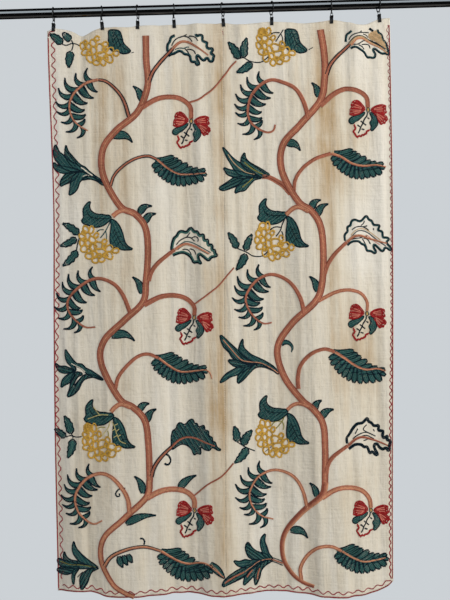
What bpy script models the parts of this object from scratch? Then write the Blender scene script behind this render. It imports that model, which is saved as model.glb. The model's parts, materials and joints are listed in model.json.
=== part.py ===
"""Crewel embroidery panel of two joined breadths, hung by clip rings from a round rod.

The row's frame: the origin is the middle of the rod's axis, +X runs right along the rod,
+Y runs back towards the wall and +Z is up. Sizes are in millimetres until a mesh is made.
"""
import math

import bmesh
import bpy
from mathutils import Matrix, Vector

MM = 0.001
GAP = 0.3

# Rod: a stock round bar, plain at both ends
ROD_LENGTH = 1600.0
ROD_RADIUS = 14.0
ROD_END_CHAMFER = 1.0

# Ring: round wire bent to a circle, hung on the top of the rod
RING_WIRE_RADIUS = 1.5
RING_INNER_RADIUS = 18.0
RING_PATH_RADIUS = RING_INNER_RADIUS + RING_WIRE_RADIUS
RING_CENTRE_Z = ROD_RADIUS + GAP - RING_INNER_RADIUS

# Bail: the small wire link that hangs on the ring and ends in the clip's hinge bar
BAIL_WIRE_RADIUS = 0.7
BAIL_ARCH_RADIUS = 3.0
BAIL_BAR_HALF = 3.8
BAIL_CORNER = 1.2
HANG_Z = RING_CENTRE_Z - RING_INNER_RADIUS + GAP
HINGE_Z = -38.0

# Cloth: one ply of ground cloth, doubled in the heading hem
CLOTH_THICKNESS = 1.6
HEM_THICKNESS = 2.6
HEM_DEPTH = 32.0
SEAM_GAP = 0.3

# Clip jaws: sprung plates on both sides of the hinge bar
JAW_WIDTH = 10.0
JAW_THICKNESS = 1.0
LIP_Y = HEM_THICKNESS / 2 + GAP + JAW_THICKNESS / 2
WAIST_Y = BAIL_WIRE_RADIUS + GAP + JAW_THICKNESS / 2
# Front face of a jaw, from lever to lip: distance from the cloth's plane, height from the hinge
JAW_PROFILE = (
    (5.2, 6.5),
    (3.6, 4.4),
    (WAIST_Y, 0.0),
    (3.3, -5.0),
    (3.5, -9.0),
    (LIP_Y, -14.6),
    (LIP_Y + 0.9, -16.6),
)

# One row a clip: place along the rod, swivel of its ring and lean of its clip, in degrees
CLIPS = (
    (-497.0, 4.0, 3.0),
    (-356.0, 15.0, -4.0),
    (-249.0, -5.0, 2.0),
    (-143.0, 8.0, -2.0),
    (1.5, -14.0, -4.0),
    (146.0, 12.0, 1.0),
    (323.0, -6.0, 3.0),
    (462.0, 5.0, -3.0),
)

# Side edges and seam, down the length: share of the drop, left edge, seam, right edge
UPRIGHTS = (
    (0.0, -515.0, 0.0, 491.0),
    (0.06, -516.0, -1.0, 491.0),
    (0.3, -514.0, -9.0, 487.0),
    (0.5, -520.0, -18.0, 477.0),
    (0.75, -531.0, -27.0, 463.0),
    (1.0, -535.0, -37.0, 452.0),
)

# Top edge: place along the rod, height. It peaks at the clips and sags between them
TOP_EDGE = (
    (-515.0, -53.0),
    (-497.0, -46.0),
    (-480.0, -48.0),
    (-446.0, -54.0),
    (-415.0, -67.0),
    (-382.0, -56.0),
    (-356.0, -48.0),
    (-330.0, -48.0),
    (-290.0, -51.0),
    (-249.0, -45.0),
    (-143.0, -45.0),
    (-22.0, -46.0),
    (1.5, -44.0),
    (31.0, -48.0),
    (52.0, -52.0),
    (81.0, -47.0),
    (146.0, -44.0),
    (243.0, -50.0),
    (288.0, -48.0),
    (323.0, -44.0),
    (346.0, -47.0),
    (373.0, -54.0),
    (395.0, -62.5),
    (420.0, -61.0),
    (441.0, -53.0),
    (462.0, -45.0),
    (491.0, -42.5),
)

# Bottom edge: place across, height
BOTTOM_EDGE = (
    (-535.0, -1711.0),
    (-481.0, -1709.0),
    (-420.0, -1712.0),
    (-385.0, -1720.0),
    (-299.0, -1723.0),
    (-151.0, -1722.0),
    (-70.0, -1729.0),
    (25.0, -1730.0),
    (95.0, -1727.0),
    (167.0, -1730.0),
    (261.0, -1740.0),
    (325.0, -1742.0),
    (379.0, -1739.0),
    (420.0, -1731.0),
    (440.0, -1720.0),
    (452.0, -1706.0),
)

# Folds: place across at the head, middle and foot, how far forward there, half width, flatness
# A negative depth is a trough that runs behind the cloth's own plane
FOLDS = (
    (-478.0, -486.0, -482.0, -2.0, -10.0, -17.0, 34.0, 2),
    (-330.0, -322.0, -335.0, 3.0, 10.0, 20.0, 72.0, 4),
    (-205.0, -215.0, -232.0, 4.0, 5.0, 9.0, 40.0, 2),
    (-120.0, -137.0, -151.0, -3.0, -8.0, -7.0, 45.0, 2),
    (-55.0, -60.0, -52.0, 3.0, 9.0, 20.0, 42.0, 2),
    (80.0, 112.0, 98.0, -4.0, -9.0, -14.0, 58.0, 2),
    (235.0, 256.0, 292.0, 5.0, 13.0, 19.0, 66.0, 4),
    (420.0, 425.0, 445.0, -3.0, -6.0, -13.0, 44.0, 2),
)

# Slack between two clips rolls the heading forward or back: place, how far, half width, reach down
SLACKS = (
    (-415.0, -13.0, 32.0, 130.0),
    (-300.0, 7.0, 28.0, 80.0),
    (-196.0, -6.0, 32.0, 90.0),
    (-70.0, 6.0, 38.0, 90.0),
    (54.0, 10.0, 24.0, 110.0),
    (238.0, -9.0, 44.0, 110.0),
    (400.0, 13.0, 32.0, 140.0),
)

# The cloth is held flat in a small patch at each clip and is free again further off
HELD_HALF_WIDTH = 9.0
HELD_DEPTH = 15.0
FREE_WIDTH = 42.0
FREE_DEPTH = 110.0

# Grid of each breadth
COLUMN_PITCH = 25.0
ROW_PITCH = 58.0


def smooth_lookup(rows, place, column):
    """Value of a column at a place, on a smooth curve through a table's rows."""
    if place <= rows[0][0]:
        return rows[0][column]
    if place >= rows[-1][0]:
        return rows[-1][column]
    k = max(i for i in range(len(rows) - 1) if rows[i][0] <= place)

    def slope(i):
        low, high = rows[max(i - 1, 0)], rows[min(i + 1, len(rows) - 1)]
        return (high[column] - low[column]) / (high[0] - low[0])

    span = rows[k + 1][0] - rows[k][0]
    f = (place - rows[k][0]) / span
    rise = f * f * (3.0 - 2.0 * f)
    bend_start = f * (1.0 - f) ** 2 * span * slope(k)
    bend_end = -f * f * (1.0 - f) * span * slope(k + 1)
    return rows[k][column] * (1.0 - rise) + rows[k + 1][column] * rise + bend_start + bend_end


def ease(value):
    value = min(max(value, 0.0), 1.0)
    return value * value * (3.0 - 2.0 * value)


def through_three(head, middle, foot, drop):
    """A smooth value that passes the head, middle and foot values down the drop."""
    if drop < 0.5:
        return head + (middle - head) * ease(drop * 2.0)
    return middle + (foot - middle) * ease(drop * 2.0 - 1.0)


def forward_depth(x, below_top, drop):
    """How far the cloth stands forward of the plane below the rod."""
    depth = 0.0
    for head_x, middle_x, foot_x, head, middle, foot, half_width, flatness in FOLDS:
        centre = through_three(head_x, middle_x, foot_x, drop)
        size = through_three(head, middle, foot, drop)
        depth += size * math.exp(-(abs(x - centre) / half_width) ** flatness)
    for centre, size, half_width, reach in SLACKS:
        across = math.exp(-((x - centre) / half_width) ** 2)
        depth += size * across * math.exp(-((below_top / reach) ** 2))
    free = 1.0
    for clip_x, _swivel, _lean in CLIPS:
        off_x = max(abs(x - clip_x) - HELD_HALF_WIDTH, 0.0) / FREE_WIDTH
        off_z = max(below_top - HELD_DEPTH, 0.0) / FREE_DEPTH
        free *= ease(math.hypot(off_x, off_z))
    return depth * free


def upright_x(side, share, drop):
    """Place across of a column, a share of the way over its breadth."""
    left, seam, right = (smooth_lookup(UPRIGHTS, drop, column) for column in (1, 2, 3))
    if side == "left":
        return left + (seam - SEAM_GAP / 2 - left) * share
    return seam + SEAM_GAP / 2 + (right - seam - SEAM_GAP / 2) * share


def cloth_point(side, share, drop):
    x = upright_x(side, share, drop)
    top = smooth_lookup(TOP_EDGE, upright_x(side, share, 0.0), 1)
    bottom = smooth_lookup(BOTTOM_EDGE, upright_x(side, share, 1.0), 1)
    below_top = (top - bottom) * drop
    return Vector((x, -forward_depth(x, below_top, drop), top - below_top))


def column_shares(side):
    """Columns across a breadth: both sides of every clip's flat patch, and even steps between."""
    start, end = upright_x(side, 0.0, 0.0), upright_x(side, 1.0, 0.0)
    marks = [start, end]
    for clip_x, _swivel, _lean in CLIPS:
        for edge in (clip_x - HELD_HALF_WIDTH, clip_x + HELD_HALF_WIDTH):
            if start + 1.0 < edge < end - 1.0:
                marks.append(edge)
    marks.sort()
    places = []
    for low, high in zip(marks, marks[1:]):
        steps = max(1, round((high - low) / COLUMN_PITCH))
        places += [low + (high - low) * i / steps for i in range(steps)]
    places.append(end)
    return [(place - start) / (end - start) for place in places]


def row_drops():
    """Rows down the cloth: the clips' patch, the hem's foot, then even steps."""
    length = TOP_EDGE[0][1] - BOTTOM_EDGE[0][1]
    drops = [0.0, HELD_DEPTH / length, (HEM_DEPTH - 1.5) / length, (HEM_DEPTH + 1.5) / length]
    steps = round((length - HEM_DEPTH) / ROW_PITCH)
    last = drops[-1]
    return drops + [last + (1.0 - last) * i / steps for i in range(1, steps + 1)]


def cloth_thickness(row):
    return HEM_THICKNESS if row < 3 else CLOTH_THICKNESS


def new_object(name, bm, material, smooth):
    bmesh.ops.recalc_face_normals(bm, faces=bm.faces)
    mesh = bpy.data.meshes.new(name)
    bm.to_mesh(mesh)
    bm.free()
    if smooth:
        mesh.shade_smooth()
        mesh.set_sharp_from_angle(angle=math.radians(50.0))
    mesh.materials.append(material)
    obj = bpy.data.objects.new(name, mesh)
    bpy.context.scene.collection.objects.link(obj)
    return obj


def new_material(name, colour, roughness, metallic):
    material = bpy.data.materials.new(name)
    material.use_nodes = True
    shader = material.node_tree.nodes["Principled BSDF"]
    shader.inputs["Base Color"].default_value = (*colour, 1.0)
    shader.inputs["Roughness"].default_value = roughness
    shader.inputs["Metallic"].default_value = metallic
    return material


def make_rod(material):
    bm = bmesh.new()
    profile = (
        (-ROD_LENGTH / 2, ROD_RADIUS - ROD_END_CHAMFER),
        (-ROD_LENGTH / 2 + ROD_END_CHAMFER, ROD_RADIUS),
        (ROD_LENGTH / 2 - ROD_END_CHAMFER, ROD_RADIUS),
        (ROD_LENGTH / 2, ROD_RADIUS - ROD_END_CHAMFER),
    )
    sides = 32
    hoops = []
    for x, radius in profile:
        turn = [2.0 * math.pi * k / sides for k in range(sides)]
        hoops.append([bm.verts.new((x * MM, radius * math.sin(a) * MM, radius * math.cos(a) * MM))
                      for a in turn])
    for low, high in zip(hoops, hoops[1:]):
        for k in range(sides):
            bm.faces.new((low[k], low[(k + 1) % sides], high[(k + 1) % sides], high[k]))
    bm.faces.new(hoops[0])
    bm.faces.new(hoops[-1])
    new_object("rod", bm, material, smooth=True)


def tube_loop(bm, path, radius, sides):
    """A closed round wire along a flat closed path, its sections square to the path."""
    normal = Vector((0.0, 0.0, 0.0))
    for point, after in zip(path, path[1:] + path[:1]):
        normal += point.cross(after)
    normal.normalize()
    sections = []
    for k, point in enumerate(path):
        along = (path[(k + 1) % len(path)] - path[k - 1]).normalized()
        out = along.cross(normal)
        section = []
        for j in range(sides):
            angle = 2.0 * math.pi * j / sides
            offset = out * math.cos(angle) + normal * math.sin(angle)
            section.append(bm.verts.new((point + offset * radius) * MM))
        sections.append(section)
    for k, low in enumerate(sections):
        high = sections[(k + 1) % len(sections)]
        for j in range(sides):
            bm.faces.new((low[j], low[(j + 1) % sides], high[(j + 1) % sides], high[j]))


def make_ring(name, clip_x, swivel, material):
    """The ring's plane stands square to the rod but for its swivel about the upright."""
    bm = bmesh.new()
    centre = Vector((clip_x, 0.0, RING_CENTRE_Z))
    turn = Matrix.Rotation(math.radians(swivel), 3, "Z")
    segments = 20
    path = []
    for k in range(segments):
        angle = 2.0 * math.pi * k / segments
        flat = Vector((0.0, math.sin(angle), math.cos(angle))) * RING_PATH_RADIUS
        path.append(centre + turn @ flat)
    tube_loop(bm, path, RING_WIRE_RADIUS, 6)
    new_object(name, bm, material, smooth=True)


def lean_about_hang(point, clip_x, lean):
    """Turns a clip's point about where its bail hangs on the ring."""
    pivot = Vector((clip_x, 0.0, HANG_Z))
    return pivot + Matrix.Rotation(math.radians(lean), 3, "Y") @ (point - pivot)


def make_bail(name, clip_x, lean, material):
    bm = bmesh.new()
    arch_z = HANG_Z + BAIL_WIRE_RADIUS - BAIL_ARCH_RADIUS
    outline = []
    for k in range(7):
        angle = math.pi * k / 6
        outline.append((BAIL_ARCH_RADIUS * math.cos(angle), arch_z + BAIL_ARCH_RADIUS * math.sin(angle)))
    outline += [
        (-BAIL_BAR_HALF, HINGE_Z + BAIL_CORNER),
        (-BAIL_BAR_HALF + BAIL_CORNER, HINGE_Z),
        (BAIL_BAR_HALF - BAIL_CORNER, HINGE_Z),
        (BAIL_BAR_HALF, HINGE_Z + BAIL_CORNER),
    ]
    path = [lean_about_hang(Vector((clip_x + x, 0.0, z)), clip_x, lean) for x, z in outline]
    tube_loop(bm, path, BAIL_WIRE_RADIUS, 6)
    new_object(name, bm, material, smooth=True)


def make_jaw(name, clip_x, lean, way, material):
    """One sprung plate; way is -1 for the front jaw and +1 for the back one."""
    bm = bmesh.new()
    count = len(JAW_PROFILE)
    sections = []
    for k, (y, z) in enumerate(JAW_PROFILE):
        before, after = JAW_PROFILE[max(k - 1, 0)], JAW_PROFILE[min(k + 1, count - 1)]
        along = Vector((0.0, after[0] - before[0], after[1] - before[1])).normalized()
        out = Vector((0.0, -along.z, along.y)) * (JAW_THICKNESS / 2)
        if k in (2, 5):
            out = Vector((0.0, JAW_THICKNESS / 2, 0.0))
        centre = Vector((0.0, y, HINGE_Z + z))
        corners = []
        for half_x, side in ((-1, -1), (1, -1), (1, 1), (-1, 1)):
            local = centre + out * side
            point = Vector((clip_x + half_x * JAW_WIDTH / 2, way * local.y, local.z))
            corners.append(bm.verts.new(lean_about_hang(point, clip_x, lean) * MM))
        sections.append(corners)
    for low, high in zip(sections, sections[1:]):
        for j in range(4):
            bm.faces.new((low[j], low[(j + 1) % 4], high[(j + 1) % 4], high[j]))
    bm.faces.new(sections[0])
    bm.faces.new(sections[-1])
    new_object(name, bm, material, smooth=False)


def make_breadth(name, side, material):
    """A closed sheet: the front and back faces of the hanging cloth, joined round its edges."""
    bm = bmesh.new()
    shares, drops = column_shares(side), row_drops()
    step = 0.001
    front, back = [], []
    for row, drop in enumerate(drops):
        half = cloth_thickness(row) / 2
        front_row, back_row = [], []
        for share in shares:
            point = cloth_point(side, share, drop)
            left = cloth_point(side, max(share - step, 0.0), drop)
            right = cloth_point(side, min(share + step, 1.0), drop)
            above = cloth_point(side, share, max(drop - step, 0.0))
            below = cloth_point(side, share, min(drop + step, 1.0))
            normal = (above - below).cross(right - left).normalized()
            normal.z = 0.0
            # An edge that meets the seam keeps its own side of it
            if share in (0.0, 1.0):
                normal.x = 0.0
            normal.normalize()
            back_row.append(bm.verts.new((point - normal * half) * MM))
            front_row.append(bm.verts.new((point + normal * half) * MM))
        front.append(front_row)
        back.append(back_row)
    for face in (front, back):
        for upper, lower in zip(face, face[1:]):
            for k in range(len(shares) - 1):
                bm.faces.new((upper[k], upper[k + 1], lower[k + 1], lower[k]))
    rim_front = front[0][:-1] + [r[-1] for r in front[:-1]] + front[-1][:0:-1] + [r[0] for r in front[:0:-1]]
    rim_back = back[0][:-1] + [r[-1] for r in back[:-1]] + back[-1][:0:-1] + [r[0] for r in back[:0:-1]]
    for k, corner in enumerate(rim_front):
        after = (k + 1) % len(rim_front)
        bm.faces.new((corner, rim_front[after], rim_back[after], rim_back[k]))
    new_object(name, bm, material, smooth=True)


for old in list(bpy.data.objects):
    bpy.data.objects.remove(old, do_unlink=True)

gloss_black = new_material("rod_black", (0.010, 0.011, 0.012), 0.22, 0.0)
wire_black = new_material("ring_black", (0.012, 0.012, 0.013), 0.38, 0.6)
clip_black = new_material("clip_black", (0.014, 0.014, 0.014), 0.42, 0.4)
cream_cloth = new_material("cream_cloth", (0.60, 0.53, 0.40), 0.92, 0.0)

make_rod(gloss_black)
for number, (clip_x, swivel, lean) in enumerate(CLIPS, start=1):
    make_ring(f"ring_{number}", clip_x, swivel, wire_black)
    make_bail(f"bail_{number}", clip_x, lean, wire_black)
    make_jaw(f"jaw_front_{number}", clip_x, lean, -1, clip_black)
    make_jaw(f"jaw_back_{number}", clip_x, lean, 1, clip_black)
make_breadth("breadth_left", "left", cream_cloth)
make_breadth("breadth_right", "right", cream_cloth)
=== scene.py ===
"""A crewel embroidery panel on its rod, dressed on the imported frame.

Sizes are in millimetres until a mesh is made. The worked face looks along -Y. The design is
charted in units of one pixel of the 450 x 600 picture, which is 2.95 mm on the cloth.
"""
import json
import math

import bpy
import numpy as np
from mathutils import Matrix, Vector

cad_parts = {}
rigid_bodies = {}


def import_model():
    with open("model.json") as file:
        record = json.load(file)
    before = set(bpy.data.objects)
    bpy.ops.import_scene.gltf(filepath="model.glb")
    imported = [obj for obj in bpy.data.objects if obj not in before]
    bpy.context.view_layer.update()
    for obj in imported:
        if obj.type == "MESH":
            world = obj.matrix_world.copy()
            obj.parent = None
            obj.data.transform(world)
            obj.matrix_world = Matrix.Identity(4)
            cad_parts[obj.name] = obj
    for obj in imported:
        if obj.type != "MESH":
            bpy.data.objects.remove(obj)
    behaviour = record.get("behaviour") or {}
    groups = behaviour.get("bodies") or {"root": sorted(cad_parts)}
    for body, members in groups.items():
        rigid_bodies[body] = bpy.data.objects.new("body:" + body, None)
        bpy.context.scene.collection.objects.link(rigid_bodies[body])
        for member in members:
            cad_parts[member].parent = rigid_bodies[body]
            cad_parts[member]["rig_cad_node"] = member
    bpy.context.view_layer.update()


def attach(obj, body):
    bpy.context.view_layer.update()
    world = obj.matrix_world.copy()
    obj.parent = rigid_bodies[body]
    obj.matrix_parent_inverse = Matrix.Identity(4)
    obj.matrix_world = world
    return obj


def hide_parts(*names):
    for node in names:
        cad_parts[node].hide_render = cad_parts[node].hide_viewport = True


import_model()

# The view. The camera stands level with the middle of the cloth and a little rolled, as the
# picture shows the rod. The chart of the design is laid on the cloth through the same view.
MM = 0.001
PICTURE_WIDTH = 450
PICTURE_HEIGHT = 600
FOCAL_PIXELS = 746.0
SENSOR = 36.0
CAMERA_X = -15.0
CAMERA_AWAY = 2200.0
CAMERA_Z = -860.0
ROLL = math.radians(1.6)

camera_data = bpy.data.cameras.new("view")
camera_data.lens = FOCAL_PIXELS * SENSOR / PICTURE_HEIGHT
camera_data.sensor_width = SENSOR
camera = bpy.data.objects.new("view", camera_data)
bpy.context.scene.collection.objects.link(camera)
camera.location = (CAMERA_X * MM, -CAMERA_AWAY * MM, CAMERA_Z * MM)
camera.rotation_mode = "XYZ"
camera.rotation_euler = (math.radians(90.0), ROLL, 0.0)
bpy.context.scene.camera = camera
bpy.context.scene.view_settings.view_transform = "Standard"
bpy.context.scene.view_settings.look = "None"


# The ground cloth. Two loom widths of unbleached cotton, joined down the middle, hang from
# eight clips. It is a thin sheet in soft upright folds, pinned flat at each clip.
CLOTH_THICKNESS = 1.3
HEM_THICKNESS = 2.3
HEM_DEPTH = 32.0
CLIP_PLACES = (-497.0, -356.0, -249.0, -143.0, 1.5, 146.0, 323.0, 462.0)
HELD_HALF_WIDTH = 9.0
HELD_DEPTH = 15.0
FREE_WIDTH = 42.0
FREE_DEPTH = 110.0
# Height of the heading and length of the cloth, both on the whole
HEADING_Z = -46.0
DROP = 1680.0

# Share of the drop, left edge, seam, right edge
UPRIGHTS = (
    (0.0, -517.0, 0.0, 494.0),
    (0.06, -518.0, -1.0, 494.0),
    (0.3, -516.0, -9.0, 490.0),
    (0.5, -524.0, -18.0, 483.0),
    (0.75, -533.0, -27.0, 471.0),
    (1.0, -537.0, -37.0, 461.0),
)
# Place across, height of the top edge
TOP_EDGE = (
    (-515.0, -53.0),
    (-497.0, -46.0),
    (-480.0, -48.0),
    (-446.0, -54.0),
    (-415.0, -67.0),
    (-382.0, -56.0),
    (-356.0, -48.0),
    (-330.0, -48.0),
    (-290.0, -51.0),
    (-249.0, -45.0),
    (-143.0, -45.0),
    (-22.0, -46.0),
    (1.5, -44.0),
    (31.0, -48.0),
    (52.0, -52.0),
    (81.0, -47.0),
    (146.0, -44.0),
    (243.0, -50.0),
    (288.0, -48.0),
    (323.0, -44.0),
    (346.0, -47.0),
    (373.0, -54.0),
    (395.0, -62.5),
    (420.0, -61.0),
    (441.0, -53.0),
    (462.0, -45.0),
    (491.0, -42.5),
)
# Place across, height of the bottom edge
BOTTOM_EDGE = (
    (-535.0, -1711.0),
    (-481.0, -1709.0),
    (-420.0, -1712.0),
    (-385.0, -1720.0),
    (-299.0, -1723.0),
    (-151.0, -1722.0),
    (-70.0, -1729.0),
    (25.0, -1730.0),
    (95.0, -1727.0),
    (167.0, -1730.0),
    (261.0, -1740.0),
    (325.0, -1742.0),
    (379.0, -1739.0),
    (424.0, -1731.0),
    (446.0, -1720.0),
    (461.0, -1706.0),
)
# Place across at head, middle and foot, how far forward there, half width, flatness
FOLDS = (
    (-480.0, -532.0, -546.0, -2.0, -9.0, -25.0, 42.0, 2),
    (-330.0, -322.0, -335.0, 3.0, 10.0, 20.0, 72.0, 4),
    (-205.0, -215.0, -232.0, 4.0, 5.0, 9.0, 40.0, 2),
    (-120.0, -137.0, -151.0, -3.0, -8.0, -7.0, 45.0, 2),
    (-55.0, -60.0, -52.0, 3.0, 9.0, 20.0, 42.0, 2),
    (80.0, 112.0, 98.0, -4.0, -9.0, -14.0, 58.0, 2),
    (235.0, 256.0, 292.0, 5.0, 13.0, 19.0, 66.0, 4),
    (420.0, 425.0, 445.0, -3.0, -6.0, -13.0, 44.0, 2),
)
# Creases pressed by years of folding, in the same columns, narrow and shallow
CREASES = (
    (-14.0, -32.0, -52.0, -1.6, -2.6, -3.2, 11.0, 2),
    (22.0, 4.0, -16.0, 1.0, 1.4, 1.5, 13.0, 2),
    (300.0, 298.0, 335.0, -0.6, -2.4, -3.6, 12.0, 2),
    (338.0, 342.0, 376.0, 0.6, 1.8, 3.0, 15.0, 2),
    (-380.0, -384.0, -366.0, 0.2, 0.6, -3.4, 11.0, 2),
    (-452.0, -500.0, -432.0, 0.0, -2.2, -3.8, 13.0, 2),
    (-398.0, -452.0, -470.0, 1.2, 1.8, 3.0, 16.0, 2),
    (180.0, 176.0, 150.0, -1.0, -1.2, -1.8, 14.0, 2),
    (-268.0, -262.0, -270.0, 1.2, 1.0, 1.8, 13.0, 2),
    (-172.0, -176.0, -190.0, -1.2, -1.0, -2.4, 12.0, 2),
)
# Slack between two clips: place, how far forward, half width, reach down
SLACKS = (
    (-415.0, -13.0, 32.0, 130.0),
    (-300.0, 7.0, 28.0, 80.0),
    (-196.0, -6.0, 32.0, 90.0),
    (-70.0, 6.0, 38.0, 90.0),
    (54.0, 10.0, 24.0, 110.0),
    (238.0, -9.0, 44.0, 110.0),
    (400.0, 13.0, 32.0, 140.0),
)
# Fine flutes between the folds: wave length, height, phase, drift of the phase down the drop
FLUTES = (
    (41.0, 1.20, 0.3, 1.9),
    (29.0, 0.60, 1.7, -2.6),
    (67.0, 1.80, 2.9, 1.3),
)
BREADTH_COLUMNS = 110
BREADTH_ROWS = 190
# The map of the worked face: its pitches and its ends
MAP_ACROSS = 3.0
MAP_UP = 6.0
MAP_LEFT, MAP_RIGHT = -548.0, 504.0
MAP_FOOT, MAP_HEAD = -1756.0, -30.0


def smooth_lookup(rows, place, column):
    """Values of a column at places, on a smooth curve through a table's rows."""
    table = np.array(rows)
    marks, values = table[:, 0], table[:, column]
    spread = np.concatenate(([marks[1] - marks[0]], marks[2:] - marks[:-2], [marks[-1] - marks[-2]]))
    rises = np.concatenate(([values[1] - values[0]], values[2:] - values[:-2], [values[-1] - values[-2]]))
    slopes = rises / spread
    place = np.clip(place, marks[0], marks[-1])
    k = np.clip(np.searchsorted(marks, place, side="right") - 1, 0, len(marks) - 2)
    span = marks[k + 1] - marks[k]
    f = (place - marks[k]) / span
    rise = f * f * (3.0 - 2.0 * f)
    bend = f * (1.0 - f) ** 2 * slopes[k] - f * f * (1.0 - f) * slopes[k + 1]
    return values[k] * (1.0 - rise) + values[k + 1] * rise + bend * span


def ease(value):
    """From 0 to 1, level at both ends."""
    value = np.clip(value, 0.0, 1.0)
    return value * value * (3.0 - 2.0 * value)


def through_three(head, middle, foot, drop):
    """A value given at the head, the middle and the foot, eased from one to the next."""
    upper = head + (middle - head) * ease(drop * 2.0)
    lower = middle + (foot - middle) * ease(drop * 2.0 - 1.0)
    return np.where(drop < 0.5, upper, lower)


def forward_depth(x, below_top, drop):
    """How far the cloth stands forward of the plane below the rod."""
    depth = np.zeros_like(x)
    for head_x, middle_x, foot_x, head, middle, foot, half_width, flatness in FOLDS + CREASES:
        centre = through_three(head_x, middle_x, foot_x, drop)
        size = through_three(head, middle, foot, drop)
        depth += size * np.exp(-(np.abs(x - centre) / half_width) ** flatness)
    for centre, size, half_width, reach in SLACKS:
        across = np.exp(-((x - centre) / half_width) ** 2)
        depth += size * across * np.exp(-((below_top / reach) ** 2))
    for length, height, phase, drift in FLUTES:
        patch = 0.6 + 0.4 * np.sin(x / 83.0 + 2.2 * drop + phase * 3.0)
        depth += height * patch * np.sin(2.0 * math.pi * x / length + phase + drift * drop)
    free = np.ones_like(x)
    for clip_x in CLIP_PLACES:
        off_x = np.maximum(np.abs(x - clip_x) - HELD_HALF_WIDTH, 0.0) / FREE_WIDTH
        off_z = np.maximum(below_top - HELD_DEPTH, 0.0) / FREE_DEPTH
        free *= ease(np.hypot(off_x, off_z))
    return depth * free


def upright_x(side, share, drop):
    """Place across at a share of a breadth's width, at a share of the drop."""
    left, seam, right = (smooth_lookup(UPRIGHTS, drop, column) for column in (1, 2, 3))
    if side == "left":
        return left + (seam - left) * share
    return seam + (right - seam) * share


def cloth_places(side, share, drop):
    """Place across, height and drop below the top edge, at shares of a breadth's width and drop."""
    x = upright_x(side, share, drop)
    top = smooth_lookup(TOP_EDGE, upright_x(side, share, np.zeros_like(drop)), 1)
    bottom = smooth_lookup(BOTTOM_EDGE, upright_x(side, share, np.ones_like(drop)), 1)
    below_top = (top - bottom) * drop
    return x, top - below_top, below_top


def rough_drop(z):
    """Share of the drop at a height, as if the heading and the foot were level."""
    return np.clip((HEADING_Z - z) / DROP, 0.0, 1.0)


def depth_at(x, z):
    """How far forward the cloth stands at a place across and a height."""
    drop = rough_drop(z)
    for _ in range(2):
        left, seam, right = (smooth_lookup(UPRIGHTS, drop, column) for column in (1, 2, 3))
        on_left = x < seam
        share = np.where(on_left, (x - left) / (seam - left), (x - seam) / (right - seam))
        share = np.clip(share, 0.0, 1.0)
        tops, feet = [], []
        for side in ("left", "right"):
            tops.append(smooth_lookup(TOP_EDGE, upright_x(side, share, np.zeros_like(drop)), 1))
            feet.append(smooth_lookup(BOTTOM_EDGE, upright_x(side, share, np.ones_like(drop)), 1))
        top = np.where(on_left, tops[0], tops[1])
        foot = np.where(on_left, feet[0], feet[1])
        drop = np.clip((top - z) / (top - foot), 0.0, 1.0)
    return forward_depth(x, (top - foot) * drop, drop)


def map_worked_face():
    """A grid of how far forward the worked face stands, which every stitch is set on."""
    x, z = np.meshgrid(np.arange(MAP_LEFT, MAP_RIGHT, MAP_ACROSS), np.arange(MAP_FOOT, MAP_HEAD, MAP_UP))
    depth = depth_at(x.ravel(), z.ravel()).reshape(x.shape)
    below = smooth_lookup(TOP_EDGE, x.ravel(), 1).reshape(x.shape) - z
    return depth + np.where(below < HEM_DEPTH, HEM_THICKNESS, CLOTH_THICKNESS) / 2.0


face_map = map_worked_face()


def face_at(x, z):
    """How far forward the worked face stands, read between the points of its map."""
    column = np.clip((x - MAP_LEFT) / MAP_ACROSS, 0.0, face_map.shape[1] - 1.001)
    row = np.clip((z - MAP_FOOT) / MAP_UP, 0.0, face_map.shape[0] - 1.001)
    i, j = column.astype(int), row.astype(int)
    f, g = column - i, row - j
    low = face_map[j, i] * (1.0 - f) + face_map[j, i + 1] * f
    high = face_map[j + 1, i] * (1.0 - f) + face_map[j + 1, i + 1] * f
    return low * (1.0 - g) + high * g


def facing_at(x, z):
    """The cloth's unit normal on its worked side."""
    across = (face_at(x + MAP_ACROSS, z) - face_at(x - MAP_ACROSS, z)) / (2.0 * MAP_ACROSS)
    up = (face_at(x, z + MAP_UP) - face_at(x, z - MAP_UP)) / (2.0 * MAP_UP)
    normal = np.stack([-across, -np.ones_like(across), -up], axis=1)
    return normal / np.linalg.norm(normal, axis=1, keepdims=True)


def mesh_piece(name, points, triangles, materials, slots=None):
    """A mesh object from arrays, in metres, that rides on the frame's one body."""
    mesh = bpy.data.meshes.new(name)
    mesh.vertices.add(len(points))
    mesh.vertices.foreach_set("co", (points * MM).astype(np.float32).ravel())
    mesh.loops.add(triangles.size)
    mesh.loops.foreach_set("vertex_index", triangles.astype(np.int32).ravel())
    mesh.polygons.add(len(triangles))
    mesh.polygons.foreach_set("loop_start", np.arange(len(triangles), dtype=np.int32) * 3)
    for material in materials:
        mesh.materials.append(material)
    if slots is not None:
        mesh.polygons.foreach_set("material_index", slots.astype(np.int32))
    mesh.polygons.foreach_set("use_smooth", np.full(len(triangles), True))
    mesh.update(calc_edges=True)
    piece = bpy.data.objects.new(name, mesh)
    bpy.context.scene.collection.objects.link(piece)
    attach(piece, "root")
    return piece


def new_material(name, roughness):
    """A material, its node tree and its shader."""
    material = bpy.data.materials.new(name)
    material.use_nodes = True
    shader = material.node_tree.nodes["Principled BSDF"]
    shader.inputs["Roughness"].default_value = roughness
    return material, material.node_tree, shader


def linear(red, green, blue):
    """A colour from 0 to 255 as the renderer wants it."""
    parts = [c / 255.0 for c in (red, green, blue)]
    return tuple(c / 12.92 if c <= 0.04045 else ((c + 0.055) / 1.055) ** 2.4 for c in parts) + (1.0,)


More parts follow.
